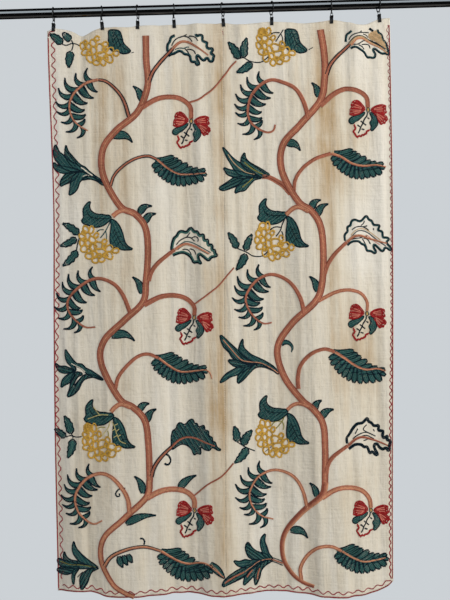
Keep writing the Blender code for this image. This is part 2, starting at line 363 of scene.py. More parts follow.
def new_group(name, inputs, outputs):
    """A node group with its sockets made, and its two end nodes."""
    group = bpy.data.node_groups.new(name, "ShaderNodeTree")
    for label, kind, value in inputs:
        socket = group.interface.new_socket(name=label, in_out="INPUT", socket_type=kind)
        socket.default_value = value
    for label, kind in outputs:
        group.interface.new_socket(name=label, in_out="OUTPUT", socket_type=kind)
    return group, group.nodes.new("NodeGroupInput"), group.nodes.new("NodeGroupOutput")


def give(tree, socket, value):
    """Links a socket to another one, or sets it to a value."""
    if isinstance(value, bpy.types.NodeSocket):
        tree.links.new(value, socket)
    else:
        socket.default_value = value


def node(tree, kind, **settings):
    """A new node; capitalised settings with _ for a blank are sockets, the others properties."""
    made = tree.nodes.new(kind)
    for key, value in settings.items():
        if key[0].isupper():
            give(tree, made.inputs[key.replace("_", " ")], value)
        else:
            setattr(made, key, value)
    return made


def numbered_node(tree, kind, values, **settings):
    """A new node whose sockets are given by their numbers."""
    made = node(tree, kind, **settings)
    for slot, value in values.items():
        give(tree, made.inputs[slot], value)
    return made


def maths(tree, operation, first, second=None):
    """The result of one sum on sockets or numbers."""
    values = {0: first} if second is None else {0: first, 1: second}
    return numbered_node(tree, "ShaderNodeMath", values, operation=operation).outputs[0]


def mix_colours(tree, amount, first, second, blend_type="MIX"):
    """The colour between two, or their product, by an amount from 0 to 1."""
    values = {0: amount, 6: first, 7: second}
    return numbered_node(tree, "ShaderNodeMix", values, data_type="RGBA", blend_type=blend_type).outputs[2]


def noise(tree, place, **settings):
    """A value of noise at a place."""
    return node(tree, "ShaderNodeTexNoise", Vector=place, **settings).outputs[0]


def drawn_noise(tree, place, stretch, **settings):
    """Noise drawn out by its own measure along each axis."""
    drawn = node(tree, "ShaderNodeMapping", Scale=stretch, Vector=place)
    return noise(tree, drawn.outputs[0], Scale=1.0, **settings)


def colour_ramp(tree, amount, colours):
    """A ramp through colours at shares, lowest share first."""
    ramp = node(tree, "ShaderNodeValToRGB")
    stops = ramp.color_ramp.elements
    while len(stops) < len(colours):
        stops.new(1.0)
    for stop, (share, colour) in zip(stops, colours):
        stop.position = share
        stop.color = colour
    give(tree, ramp.inputs[0], amount)
    return ramp.outputs[0]


def add_bump(tree, shader, height, strength, distance):
    """Turns a height into the shader's bump; the distance is in metres."""
    bump = node(tree, "ShaderNodeBump", Strength=strength, Distance=distance, Height=height)
    give(tree, shader.inputs["Normal"], bump.outputs[0])


def plain_weave():
    """Over and under of warp and weft, with slubs: a colour tone and a height."""
    group, given, out = new_group(
        "plain_weave",
        [("Thread Pitch", "NodeSocketFloat", 0.0009), ("Slub", "NodeSocketFloat", 0.5)],
        [("Tone", "NodeSocketFloat"), ("Height", "NodeSocketFloat")],
    )
    place = node(group, "ShaderNodeTexCoord").outputs["Object"]
    parts = node(group, "ShaderNodeSeparateXYZ", Vector=place)
    wobble = noise(group, place, Scale=60.0, Detail=2.0)
    drift = maths(group, "MULTIPLY", maths(group, "SUBTRACT", wobble, 0.5), 0.0012)
    turns = maths(group, "DIVIDE", 2.0 * math.pi, given.outputs["Thread Pitch"])
    waves = []
    for along in (parts.outputs[0], parts.outputs[2]):
        waves.append(maths(group, "SINE", maths(group, "MULTIPLY", maths(group, "ADD", along, drift), turns)))
    cross = maths(group, "MULTIPLY", waves[0], waves[1])
    upright = drawn_noise(group, place, (900.0, 900.0, 26.0), Detail=1.0)
    level = drawn_noise(group, place, (22.0, 22.0, 1000.0), Detail=1.0)
    slub = maths(group, "MULTIPLY", maths(group, "ADD", upright, level), given.outputs["Slub"])
    give(group, out.inputs["Height"], maths(group, "ADD", maths(group, "MULTIPLY", cross, 0.35), slub))
    give(group, out.inputs["Tone"],
         maths(group, "ADD", maths(group, "MULTIPLY", slub, 0.5), maths(group, "MULTIPLY", cross, 0.12)))
    return group


# Stains: place across, height, half width, half height, strength. Handling and damp left
# them in upright streaks; a negative strength is a paler, better washed patch
STAINS = (
    (-345.0, -300.0, 60.0, 330.0, 0.68),
    (-325.0, -700.0, 75.0, 300.0, 0.30),
    (-300.0, -1200.0, 60.0, 240.0, 0.22),
    (-130.0, -430.0, 26.0, 330.0, 0.35),
    (-12.0, -260.0, 34.0, 330.0, 0.62),
    (-42.0, -1080.0, 32.0, 380.0, 0.95),
    (-30.0, -1560.0, 34.0, 200.0, 0.45),
    (52.0, -700.0, 24.0, 260.0, 0.32),
    (300.0, -330.0, 44.0, 330.0, 0.95),
    (360.0, -380.0, 40.0, 190.0, 0.45),
    (300.0, -880.0, 30.0, 420.0, 0.48),
    (400.0, -1020.0, 66.0, 170.0, 0.72),
    (360.0, -1440.0, 46.0, 90.0, 0.3),
    (180.0, -1130.0, 46.0, 260.0, 0.24),
    (-420.0, -1340.0, 60.0, 190.0, 0.34),
    (-500.0, -640.0, 26.0, 620.0, -0.55),
    (-440.0, -610.0, 40.0, 70.0, -0.45),
    (456.0, -700.0, 34.0, 480.0, -0.5),
    (390.0, -180.0, 55.0, 90.0, -0.35),
    (385.0, -690.0, 50.0, 130.0, -0.5),
    (-190.0, -560.0, 60.0, 110.0, -0.35),
    (90.0, -1500.0, 90.0, 160.0, -0.20),
    (-215.0, -1180.0, 60.0, 200.0, -0.25),
)


def stain_at(x, z):
    """How stained the cloth is at a place across and a height."""
    total = np.zeros_like(x)
    for centre_x, centre_z, half_width, half_height, strength in STAINS:
        far = ((x - centre_x) / half_width) ** 2 + ((z - centre_z) / half_height) ** 2
        total += strength * np.exp(-far)
    return total


# Pressed-in crinkles: noise stretch across, through and up the cloth, strength in millimetres
CRINKLES = (
    ((50.0, 20.0, 5.0), 4.4),
    ((9.0, 20.0, 90.0), 2.4),
    ((36.0, 36.0, 30.0), 3.8),
)
WEAVE_BUMP = 0.12
THREAD_PITCH = 0.0011
SLUB = 0.22
# From clean to stained: share, colour
CLOTH_COLOURS = ((0.0, (238, 233, 222)), (0.42, (225, 216, 198)), (1.0, (188, 162, 126)))


def cloth_material():
    """Worn cream cotton: stains, streaks and blotches of use under a plain weave."""
    material, tree, shader = new_material("cream_cloth_worn", 0.93)
    place = node(tree, "ShaderNodeTexCoord").outputs["Object"]
    stain = node(tree, "ShaderNodeAttribute", attribute_name="stain").outputs["Fac"]
    streak = drawn_noise(tree, place, (26.0, 1.0, 1.7), Detail=6.0, Roughness=0.72)
    blotch = noise(tree, place, Scale=7.0, Detail=5.0, Roughness=0.6)
    uneven = maths(tree, "ADD", maths(tree, "MULTIPLY", streak, 1.15), maths(tree, "MULTIPLY", blotch, 0.55))
    stained = maths(tree, "MULTIPLY", stain, maths(tree, "MULTIPLY", uneven, 0.72))
    used = maths(tree, "SUBTRACT", maths(tree, "MULTIPLY", uneven, 0.95), 0.52)
    colours = [(share, linear(*colour)) for share, colour in CLOTH_COLOURS]
    colour = colour_ramp(tree, maths(tree, "ADD", stained, used), colours)
    weave = node(tree, "ShaderNodeGroup", node_tree=weave_group)
    weave.inputs["Thread Pitch"].default_value = THREAD_PITCH
    weave.inputs["Slub"].default_value = SLUB
    threads = node(tree, "ShaderNodeMapRange", Value=weave.outputs["Tone"], From_Min=0.0, From_Max=0.24,
                   To_Min=0.95, To_Max=1.04)
    give(tree, shader.inputs["Base Color"], mix_colours(tree, 1.0, colour, threads.outputs[0], "MULTIPLY"))
    height = maths(tree, "MULTIPLY", weave.outputs["Height"], WEAVE_BUMP)
    for stretch, strength in CRINKLES:
        crinkle = drawn_noise(tree, place, stretch, Detail=3.0, Roughness=0.55, Distortion=0.4)
        height = maths(tree, "ADD", height, maths(tree, "MULTIPLY", crinkle, strength))
    add_bump(tree, shader, height, 1.0, 0.001)
    shader.inputs["Specular IOR Level"].default_value = 0.15
    return material


def make_breadth(name, side, material):
    """A closed thin sheet: worked face, back face and the rim that joins them."""
    share, drop = np.meshgrid(np.linspace(0.0, 1.0, BREADTH_COLUMNS), breadth_drops())
    rows, columns = share.shape
    share, drop = share.ravel(), drop.ravel()
    x, z, below_top = cloth_places(side, share, drop)
    depth = forward_depth(x, below_top, drop)
    across = (forward_depth(x + 1.0, below_top, drop) - forward_depth(x - 1.0, below_top, drop)) / 2.0
    normal = np.stack([-across, -np.ones_like(across), np.zeros_like(across)], axis=1)
    normal /= np.linalg.norm(normal, axis=1, keepdims=True)
    normal[(share == 0.0) | (share == 1.0)] = (0.0, -1.0, 0.0)
    half = np.where(below_top < HEM_DEPTH, HEM_THICKNESS, CLOTH_THICKNESS)[:, None] / 2.0
    middle = np.stack([x, -depth, z], axis=1)
    points = np.concatenate([middle + normal * half, middle - normal * half])
    k = np.arange(rows * columns).reshape(rows, columns)
    a, b, c, d = k[:-1, :-1].ravel(), k[:-1, 1:].ravel(), k[1:, 1:].ravel(), k[1:, :-1].ravel()
    front = np.concatenate([np.stack([a, d, c], 1), np.stack([a, c, b], 1)])
    back = front[:, ::-1] + rows * columns
    rim = np.concatenate([k[0, :-1], k[:-1, -1], k[-1, :0:-1], k[:0:-1, 0]])
    after = np.roll(rim, -1)
    far, far_after = rim + rows * columns, after + rows * columns
    sides = np.concatenate([np.stack([rim, after, far_after], 1), np.stack([rim, far_after, far], 1)])
    piece = mesh_piece(name, points, np.concatenate([front, back, sides]), [material])
    stain = piece.data.attributes.new("stain", "FLOAT", "POINT")
    stain.data.foreach_set("value", np.tile(stain_at(x, z), 2).astype(np.float32))
    return piece


def breadth_drops():
    """Rows of the sheet. Two lie close at the hem's foot, where two plies become one."""
    hem = HEM_DEPTH / DROP
    step = 0.0006
    return np.concatenate([np.linspace(0.0, hem - step, 6), np.linspace(hem + step, 1.0, BREADTH_ROWS)])


weave_group = plain_weave()
cloth = cloth_material()
for side in ("left", "right"):
    make_breadth(f"{side}_breadth_cloth", side, cloth)
    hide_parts(f"breadth_{side}")


# Crewel wool. Two-ply worsted, vegetable dyed, worked in rows of stem stitch. Every stitch is
# a raised grain of yarn that dips into the cloth at both ends and lies over the next one.
PIXEL = CAMERA_AWAY / FOCAL_PIXELS
YARN = 3.05
STITCH = 4.3
STITCH_RISE = 1.15
STITCH_SLANT = 0.22
SINK = 0.35
# Colour of each dye lot, 0 to 255
DYES = {
    "terracotta": (180, 115, 92),
    "deep_terracotta": (148, 84, 68),
    "salmon": (206, 148, 116),
    "teal": (41, 79, 83),
    "leaf_green": (64, 108, 101),
    "navy": (7, 27, 37),
    "ink": (16, 28, 36),
    "ochre": (202, 160, 72),
    "olive": (150, 144, 74),
    "pale_yellow": (206, 194, 134),
    "crimson": (158, 40, 42),
    "pink": (222, 140, 122),
    "madder": (150, 42, 54),
    "tan": (206, 176, 136),
    "white": (232, 226, 210),
}
chance = np.random.default_rng(1712)


def wool_fibre():
    """Ply and fuzz of worsted yarn: its dye made uneven, and a height."""
    group, given, out = new_group(
        "wool_fibre",
        [("Dye", "NodeSocketColor", (0.5, 0.5, 0.5, 1.0)), ("Tone", "NodeSocketFloat", 0.0),
         ("Fuzz Scale", "NodeSocketFloat", 1400.0)],
        [("Color", "NodeSocketColor"), ("Height", "NodeSocketFloat")],
    )
    place = node(group, "ShaderNodeTexCoord").outputs["Object"]
    fuzz = noise(group, place, Scale=given.outputs["Fuzz Scale"], Detail=3.0, Roughness=0.7)
    fade = noise(group, place, Scale=16.0, Detail=2.0)
    uneven = maths(group, "ADD", maths(group, "MULTIPLY", fuzz, 0.55), maths(group, "MULTIPLY", fade, 0.45))
    tone = maths(group, "MULTIPLY", given.outputs["Tone"], 0.5)
    colour = node(group, "ShaderNodeHueSaturation", Color=given.outputs["Dye"],
                  Value=maths(group, "ADD", maths(group, "ADD", uneven, 0.5), tone))
    give(group, out.inputs["Color"], colour.outputs[0])
    give(group, out.inputs["Height"], fuzz)
    return group


def wool_material(name):
    """Wool of one dye lot; every stitch has its own tone."""
    material, tree, shader = new_material(f"wool_{name}", 0.88)
    tone = node(tree, "ShaderNodeAttribute", attribute_name="stitch_tone")
    yarn = node(tree, "ShaderNodeGroup", node_tree=fibre_group)
    yarn.inputs["Dye"].default_value = linear(*DYES[name])
    give(tree, yarn.inputs["Tone"], tone.outputs["Fac"])
    give(tree, shader.inputs["Base Color"], yarn.outputs["Color"])
    add_bump(tree, shader, yarn.outputs["Height"], 0.6, 0.0004)
    shader.inputs["Specular IOR Level"].default_value = 0.12
    return material


fibre_group = wool_fibre()
wools = {name: wool_material(name) for name in DYES}
worked_rows = []
worked_pieces = {"left": [], "right": []}
# A stitch from end to end: share of its length, swing aside, and points as shares of its
# width and rise. A negative rise is a point sunk in the cloth
LOAF = ((-0.5, 0.0), (-0.27, 1.0), (0.27, 1.0), (0.5, 0.0))
SUNK_TIP = ((0.0, -1.0),)
STITCH_SECTIONS = ((0.0, -1.0, SUNK_TIP), (0.26, -0.45, LOAF), (0.74, 0.45, LOAF), (1.0, 1.0, SUNK_TIP))
STITCH_POINTS = 10
# How far a stitch reaches under the next, and the shortest row that is worked
LAP = 0.24
SHORTEST_ROW = 1.5


def stitch_faces():
    """Triangles of one stitch: a fan at each sunk tip and four sides between."""
    faces = [(0, 2, 1), (0, 3, 2), (0, 4, 3), (0, 1, 4), (9, 5, 6), (9, 6, 7), (9, 7, 8), (9, 8, 5)]
    for k in range(4):
        a, b = 1 + k, 1 + (k + 1) % 4
        faces += [(a, b, b + 4), (a, b + 4, a + 4)]
    return np.array(faces)


STITCH_FACES = stitch_faces()


def on_cloth(chart):
    """Places across and heights on the cloth that the camera sees at chart points."""
    chart = np.asarray(chart, dtype=float)
    right = (chart[:, 0] - PICTURE_WIDTH / 2) / FOCAL_PIXELS
    up = (PICTURE_HEIGHT / 2 - chart[:, 1]) / FOCAL_PIXELS
    ray_x = right * math.cos(ROLL) + up * math.sin(ROLL)
    ray_z = up * math.cos(ROLL) - right * math.sin(ROLL)
    away = np.full(len(chart), CAMERA_AWAY)
    for _ in range(3):
        x, z = CAMERA_X + ray_x * away, CAMERA_Z + ray_z * away
        away = CAMERA_AWAY - face_at(x, z)
    return np.stack([x, z], axis=1)


def lengths_along(line):
    """Length of a line up to each of its points."""
    return np.concatenate(([0.0], np.cumsum(np.linalg.norm(np.diff(line, axis=0), axis=1))))


def work_cloth_row(line, wool, width=YARN, stitch=STITCH, lift=0.0, rise=STITCH_RISE, slant=STITCH_SLANT):
    """Works one row of stitches along a line of cloth places, in millimetres."""
    reach = lengths_along(line)
    total = reach[-1]
    if total < SHORTEST_ROW:
        return
    count = max(1, int(round(total / stitch)))
    marks = np.linspace(0.0, total, count + 1)
    lap = LAP * total / count
    ends = []
    for spot in (marks[:-1] - lap, marks[1:] + lap):
        spot = np.clip(spot, 0.0, total)
        ends.append(np.stack([np.interp(spot, reach, line[:, 0]), np.interp(spot, reach, line[:, 1])], 1))
    widths = np.interp((marks[:-1] + marks[1:]) / 2, reach, np.broadcast_to(width, len(reach)))
    widths = widths * chance.uniform(0.9, 1.12, count)
    rises = rise * chance.uniform(0.85, 1.15, count) * np.clip(widths / YARN, 0.6, 1.2)
    tones = np.clip(chance.normal(0.0, 0.17, count) + chance.normal(0.0, 0.12), -0.45, 0.45)
    numbers = np.full(count, list(DYES).index(wool))
    settings = np.stack([widths, rises, np.full(count, lift), tones, np.full(count, slant)], 1)
    worked_rows.append((ends[0], ends[1], settings, numbers))


def work_row(line, wool, width=YARN, **settings):
    """Works one row of stitches along a line of the chart."""
    work_cloth_row(on_cloth(line), wool, width, **settings)


def sew_piece(name):
    """Makes one mesh on each breadth of the rows worked since the last piece."""
    start, end, settings, numbers = (np.concatenate(parts) for parts in zip(*worked_rows))
    worked_rows.clear()
    middle = (start + end) / 2
    on_left = middle[:, 0] < smooth_lookup(UPRIGHTS, rough_drop(middle[:, 1]), 2)
    for side, chosen in (("left", on_left), ("right", ~on_left)):
        if chosen.any():
            piece = sew_side(f"{name}_{side}", start[chosen], end[chosen], settings[chosen], numbers[chosen])
            worked_pieces[side].append(piece)


def sew_side(name, start, end, settings, numbers):
    """One mesh of stitches, each given by its two ends on the cloth and its settings."""
    width, rise, lift, tone, slant = settings.T
    middle = (start + end) / 2
    facing = facing_at(middle[:, 0], middle[:, 1])
    tips = []
    for flat in (start, end):
        tips.append(np.stack([flat[:, 0], -face_at(flat[:, 0], flat[:, 1]), flat[:, 1]], 1))
    along = tips[1] - tips[0]
    reach = np.linalg.norm(along, axis=1, keepdims=True)
    along /= reach
    aside = np.cross(facing, along)
    points = []
    for share, swing, corners in STITCH_SECTIONS:
        centre = tips[0] + along * reach * share + aside * (swing * slant * width)[:, None]
        centre = centre + facing * lift[:, None]
        for side, height in corners:
            up = np.where(height < 0.0, -SINK, height * rise)
            points.append(centre + aside * (side * width)[:, None] + facing * up[:, None])
    points = np.stack(points, axis=1)
    firsts = np.arange(len(points)) * STITCH_POINTS
    triangles = (STITCH_FACES[None] + firsts[:, None, None]).reshape(-1, 3)
    used = sorted(set(numbers.tolist()))
    slots = np.repeat(np.searchsorted(used, numbers), len(STITCH_FACES))
    materials = [wools[list(DYES)[k]] for k in used]
    piece = mesh_piece(name, points.reshape(-1, 3), triangles, materials, slots)
    attribute = piece.data.attributes.new("stitch_tone", "FLOAT", "POINT")
    attribute.data.foreach_set("value", np.repeat(tone, STITCH_POINTS).astype(np.float32))
    return piece


def curve(points, step=1.1):
    """A smooth line through chart points."""
    points = np.asarray(points, dtype=float)
    padded = np.concatenate([[2 * points[0] - points[1]], points, [2 * points[-1] - points[-2]]])
    line = []
    for k in range(1, len(padded) - 2):
        before, here, there, after = padded[k - 1:k + 3]
        count = max(2, int(np.linalg.norm(there - here) / step))
        f = (np.arange(count) / count)[:, None]
        line.append(0.5 * (2 * here + (there - before) * f
                           + (2 * before - 5 * here + 4 * there - after) * f ** 2
                           + (3 * here - before - 3 * there + after) * f ** 3))
    return np.concatenate(line + [points[-1:]])


def left_of(line):
    """Unit steps to the left of the way along a chart line, as the picture shows it."""
    way = np.gradient(line, axis=0)
    way /= np.linalg.norm(way, axis=1, keepdims=True) + 1e-9
    return np.stack([way[:, 1], -way[:, 0]], axis=1)


# Rows side by side are this much wider than their pitch, so that no cloth shows between
ROW_OVERLAP = 1.25


def work_band(points, start_width, end_width, wool_order, lift=0.0):
    """Rows laid side by side along a curve, left to right, narrowing from one end to the other."""
    line = curve(points)
    share = lengths_along(line)
    share /= share[-1]
    width = start_width + (end_width - start_width) * share
    aside = left_of(line)
    count = len(wool_order)
    for k, wool in enumerate(wool_order):
        off = (0.5 - (k + 0.5) / count) * width
        work_row(line + aside * off[:, None], wool, width / count * ROW_OVERLAP * PIXEL, lift=lift)


# Main stems. Each breadth has one thick stem that climbs from the foot to the heading in slow
# waves. It is worked in seven rows, with the deepest dye on its outer rows.
STEM_WIDTH = 6.4
STEM_ROWS = ("deep_terracotta", "terracotta", "terracotta", "salmon", "terracotta", "terracotta",
             "deep_terracotta")
LOW_STEM_ROWS = ("deep_terracotta", "terracotta", "salmon", "salmon", "salmon", "terracotta",
                 "deep_terracotta")
LEFT_STEM = (
    (145.8, 35.5), (146.3, 60), (147.6, 86), (137.5, 112), (115.7, 131), (102.8, 150), (103.5, 176),
    (120, 206), (135, 214), (145.5, 228), (148, 252), (146, 282), (143, 302), (123.7, 321), (104, 341),
    (101.5, 364), (119, 398), (133.5, 407.5), (145, 421), (148.5, 445), (149.8, 480),
)
LEFT_STEM_FOOT = (
    (149.7, 478), (149.6, 481), (146.5, 497), (123.7, 519), (104, 538), (101.3, 560), (112, 583),
    (123, 592), (134.5, 597),
)
RIGHT_STEM = (
    (320.4, 29.5), (324.3, 55), (324.5, 80), (320, 101), (300, 125), (283, 145), (282, 171), (298, 201),
    (311, 210.5), (320.5, 226), (323.3, 252), (322, 284), (315, 302), (292, 323.6), (277.5, 348),
    (284, 376), (302, 400), (313, 409), (323, 424), (325.2, 450), (325, 484),
)
RIGHT_STEM_FOOT = (
    (325.1, 481.8), (324.9, 485), (321, 496.5), (301, 513), (284.5, 534), (283, 556), (292, 573),
    (303, 582), (314.5, 586.5),
)
RIGHT_FOOT_ROWS = ("salmon", "salmon", "terracotta", "terracotta", "deep_terracotta", "deep_terracotta",
                   "deep_terracotta")
# Stems and branches lie over the leaves that spring from them
STEM_LIFT = 0.9
BRANCH_LIFT = 1.0
work_band(LEFT_STEM, STEM_WIDTH, STEM_WIDTH, STEM_ROWS, STEM_LIFT)
work_band(LEFT_STEM_FOOT, STEM_WIDTH, 4.6, LOW_STEM_ROWS, STEM_LIFT)
work_band(RIGHT_STEM, STEM_WIDTH + 0.3, STEM_WIDTH, STEM_ROWS, STEM_LIFT)
work_band(RIGHT_STEM_FOOT, STEM_WIDTH, 3.4, RIGHT_FOOT_ROWS, STEM_LIFT)
sew_piece("main_stems")


# Branches. Thinner stems leave the main ones in arches, in two to five rows that narrow to
# their ends. Some are laid between two navy rows.
PLAIN_BRANCH = ("deep_terracotta", "terracotta", "terracotta", "terracotta")
WARM_BRANCH = ("terracotta", "salmon", "salmon", "terracotta")
EDGED_BRANCH = ("navy", "terracotta", "terracotta", "navy")
WARM_EDGED = ("navy", "salmon", "salmon", "terracotta", "navy")
LIGHT_CORED = ("terracotta", "salmon", "terracotta")
LIGHT_ON_LEFT = ("salmon", "terracotta")
LIGHT_ON_RIGHT = ("terracotta", "salmon")
TWIG = ("deep_terracotta", "terracotta")
# Rows of wool, start width, end width, curve
BRANCHES = (
    (PLAIN_BRANCH, 5.0, 4.2, ((141, 108), (157, 99), (172, 97), (183, 100), (190.5, 107.5), (191.2, 119))),
    (PLAIN_BRANCH, 5.0, 4.0,
     ((144, 305), (160, 297), (174.6, 295.4), (187, 299), (194.3, 307), (194.3, 315.8))),
    (WARM_BRANCH, 5.6, 4.6, ((147, 498), (161, 491), (174.6, 489), (187, 492), (194, 499), (194.6, 508.4))),
    (PLAIN_BRANCH, 5.0, 4.0, ((320, 106), (334, 94), (346, 89), (358, 91), (366.4, 97.5), (367.8, 107.8))),
    (LIGHT_CORED, 3.6, 2.6, ((318, 301), (336, 292), (350, 290), (361, 293.5), (367, 302), (367, 311.6))),
    (WARM_BRANCH, 4.8, 4.0, ((322, 498), (335, 490), (348.6, 487.5), (361, 490), (369, 498), (370.8, 508))),
    (EDGED_BRANCH, 4.2, 3.0, ((129, 117), (124, 101), (115.5, 89), (106, 81.5), (98.3, 79.8))),
    (LIGHT_CORED, 2.8, 1.2,
     ((98.3, 79.8), (87.6, 82.5), (77, 90), (71, 99), (69.5, 108.5), (73, 119), (79.6, 126), (88, 130.8))),
    (PLAIN_BRANCH, 4.2, 1.4,
     ((130.5, 313), (122.4, 294), (113, 283.4), (99.6, 278.5), (87.6, 281.5), (75.5, 290.5), (68, 300.8),
      (69, 311.5), (77, 321.5), (86, 327.3), (95.6, 327))),
    (WARM_BRANCH, 4.6, 1.4,
     ((129.8, 514), (127.8, 499), (121, 487), (110.4, 476.5), (99.6, 473.5), (87.6, 478), (79, 487.5),
      (75, 499), (78.5, 512), (86.2, 520), (94.3, 524), (102.5, 520.5))),
    (PLAIN_BRANCH, 4.4, 1.6,
     ((308.5, 118), (303, 100.4), (295, 88.4), (283, 82.4), (271, 80), (260.2, 85.3), (252, 95), (248, 107),
      (249, 119), (256.2, 127.5), (267, 132.4), (273.5, 130.5), (275.2, 124.5))),
    (PLAIN_BRANCH, 4.2, 1.4,
     ((304.5, 314), (300.4, 298), (292.3, 284.7), (281.6, 277), (269.6, 274.5), (257.5, 279.8),
      (248.8, 290), (245.6, 299.5), (249, 310), (256.2, 319), (264.2, 323.6), (272, 322.5))),
    (WARM_BRANCH, 3.6, 1.2,
     ((307.5, 508.5), (303, 491), (295, 477.7), (283, 471), (271, 470.3), (258.8, 476.3), (251.5, 487),
      (249.4, 496.4), (253, 507), (261.5, 515.5), (273.6, 519))),
    (EDGED_BRANCH, 3.2, 3.0,
     ((110.5, 186), (114, 176), (122, 167), (134.5, 159), (147.9, 156), (157, 159.5))),
    (LIGHT_ON_RIGHT, 2.0, 1.0, ((157, 159.5), (166.6, 167.5), (177, 173.5), (187, 174.5), (206, 173))),
    (PLAIN_BRANCH, 3.6, 3.0,
     ((115.5, 388.5), (118, 378), (125, 368), (137, 357), (147.9, 354), (158.6, 358))),
    (LIGHT_ON_LEFT, 2.4, 0.9,
     ((158.6, 358), (169.3, 366), (180, 371.5), (190, 371.5), (205, 370), (210, 373), (212, 379))),
    (WARM_EDGED, 4.2, 3.0,
     ((104.5, 566.5), (110, 558), (119, 552.5), (133, 548), (146.5, 547), (161, 551))),
    (LIGHT_ON_LEFT, 2.4, 0.9,
     ((161, 551), (174.6, 559), (187, 563.5), (200, 562.5), (208, 564.5), (215, 570), (224, 577.5))),
    (PLAIN_BRANCH, 3.4, 3.4, ((294, 191), (295.3, 180), (302, 169), (315, 159), (331, 153.5))),
    (LIGHT_ON_LEFT, 2.6, 1.4, ((331, 153.5), (341, 157), (352, 163.5), (363, 166), (376, 165), (386, 167))),
    (PLAIN_BRANCH, 4.0, 3.2, ((298.5, 389), (298, 377), (301, 365), (311, 354), (324.5, 349), (335, 352))),
    (LIGHT_ON_RIGHT, 2.6, 1.2,
     ((335, 352), (345, 358.5), (356, 366), (366, 369.5), (377, 368.5), (386, 371))),
    (WARM_BRANCH, 3.6, 3.0, ((301.5, 580), (300.5, 568), (307, 556), (318, 548), (331, 546.5), (342, 551))),
    (("salmon", "salmon"), 2.0, 1.2, ((342, 551), (352.6, 557.5), (364, 561.5), (375, 560), (386, 557.5))),
    (EDGED_BRANCH, 4.4, 3.6, ((149, 82), (153, 72), (160, 62.5), (168, 54), (173, 48.5))),
    (LIGHT_CORED, 2.8, 1.2,
     ((173, 48.5), (178, 43.5), (183.5, 41.5), (190, 43), (199, 48.5), (208.5, 55.5))),
    (PLAIN_BRANCH, 4.4, 3.4, ((148.5, 281), (152, 271), (158, 263), (167, 255.5), (175, 249.5))),
    (LIGHT_ON_RIGHT, 2.6, 1.2,
     ((175, 249.5), (181, 245.5), (187, 244), (195, 246.5), (203, 250.5), (209.5, 253.9))),
    (EDGED_BRANCH, 4.4, 3.6, ((151.5, 477), (154, 468), (160, 458.5), (167, 451), (172, 446.5))),
    (TWIG, 2.2, 0.8, ((172, 446.5), (179, 440), (187, 437), (196, 438.5), (205, 442.5), (215, 446))),
    (EDGED_BRANCH, 4.4, 3.4, ((326.5, 75), (330, 65.5), (336, 57.5), (344, 50), (350, 44.5))),
    (("ink", "tan", "tan", "salmon", "salmon"), 4.6, 1.2,
     ((350, 44.5), (356, 38), (362.5, 37.5), (370, 42.5), (379, 47), (388, 53.5))),
    (PLAIN_BRANCH, 4.2, 3.2, ((324.5, 274), (328, 264), (334, 255), (341, 247.5), (347, 242))),
    (LIGHT_ON_LEFT, 2.6, 1.2,
     ((347, 242), (353, 237), (360, 235.5), (369, 238.5), (378, 241), (387, 243.5))),
    (PLAIN_BRANCH, 4.4, 3.2, ((326, 474), (328, 464.5), (333, 457), (341, 450.5), (348, 445.5))),
    (("terracotta", "deep_terracotta"), 2.6, 1.2,
     ((348, 445.5), (355, 439.5), (362, 437), (371, 439), (380, 442), (388, 445.5))),
    (TWIG, 1.7, 1.4, ((188.6, 102.8), (192, 101.7), (198.7, 99.5), (205, 95), (213, 89), (224, 76),
                      (231, 66.5), (236.5, 61))),
    (TWIG, 1.5, 1.3, ((193.2, 305), (196, 303.2), (205, 296.5), (217.5, 286.7), (226, 277), (234, 267.5))),
    (TWIG, 1.4, 1.4, ((193.6, 495.8), (197, 493.4), (208, 484.5), (220, 477.7), (227, 471), (233.6, 463))),
    (WARM_BRANCH, 4.6, 4.4, ((134, 214.5), (126, 210.5), (119, 211.5), (112.4, 216.5))),
    (WARM_BRANCH, 4.6, 4.2, ((131, 407.5), (122, 404), (116, 406.5), (110.8, 412))),
    (WARM_BRANCH, 4.6, 4.2, ((309, 211.5), (300, 207), (293, 208.5), (286, 215))),
    (LIGHT_CORED, 3.8, 3.2, ((309, 406.5), (300, 403.5), (293, 405), (287, 410))),
)
for wool_order, start_width, end_width, path in BRANCHES:
    work_band(path, start_width, end_width, wool_order, BRANCH_LIFT)
sew_piece("branches")


# Pointed leaves. A leaf is filled with rows that follow its middle line, and its edge is one
# row of navy. The fern fronds carry many, hooked at the tip, on both sides of their stem.
LEAF_ROW = 0.92
EDGE_YARN = 4.2
# The filling stops this far inside the edge; a vein ends at this share of the leaf's length
FILL_INSET = 0.4
VEIN_SHARE = 0.8
# Share of the length, share of the half width
POINTED = ((0.0, 0.2), (0.15, 0.68), (0.35, 1.0), (0.6, 0.8), (0.8, 0.4), (0.93, 0.14), (1.0, 0.02))
ROUNDED = ((0.0, 0.85), (0.3, 0.9), (0.62, 1.0), (0.8, 0.96), (0.92, 0.7), (0.98, 0.36), (1.0, 0.05))
HOOKED = ((0.0, 0.25), (0.12, 0.8), (0.3, 1.0), (0.5, 0.86), (0.7, 0.52), (0.86, 0.24), (1.0, 0.03))
TOOTHED = (
    (0.0, 0.12), (0.1, 0.6), (0.22, 1.0), (0.34, 0.56), (0.48, 1.0), (0.6, 0.5), (0.7, 0.8), (0.82, 0.3),
    (0.9, 0.32), (1.0, 0.02),
)
SPEAR = ((0.0, 0.5), (0.25, 0.95), (0.5, 1.0), (0.75, 0.7), (0.9, 0.35), (1.0, 0.02))


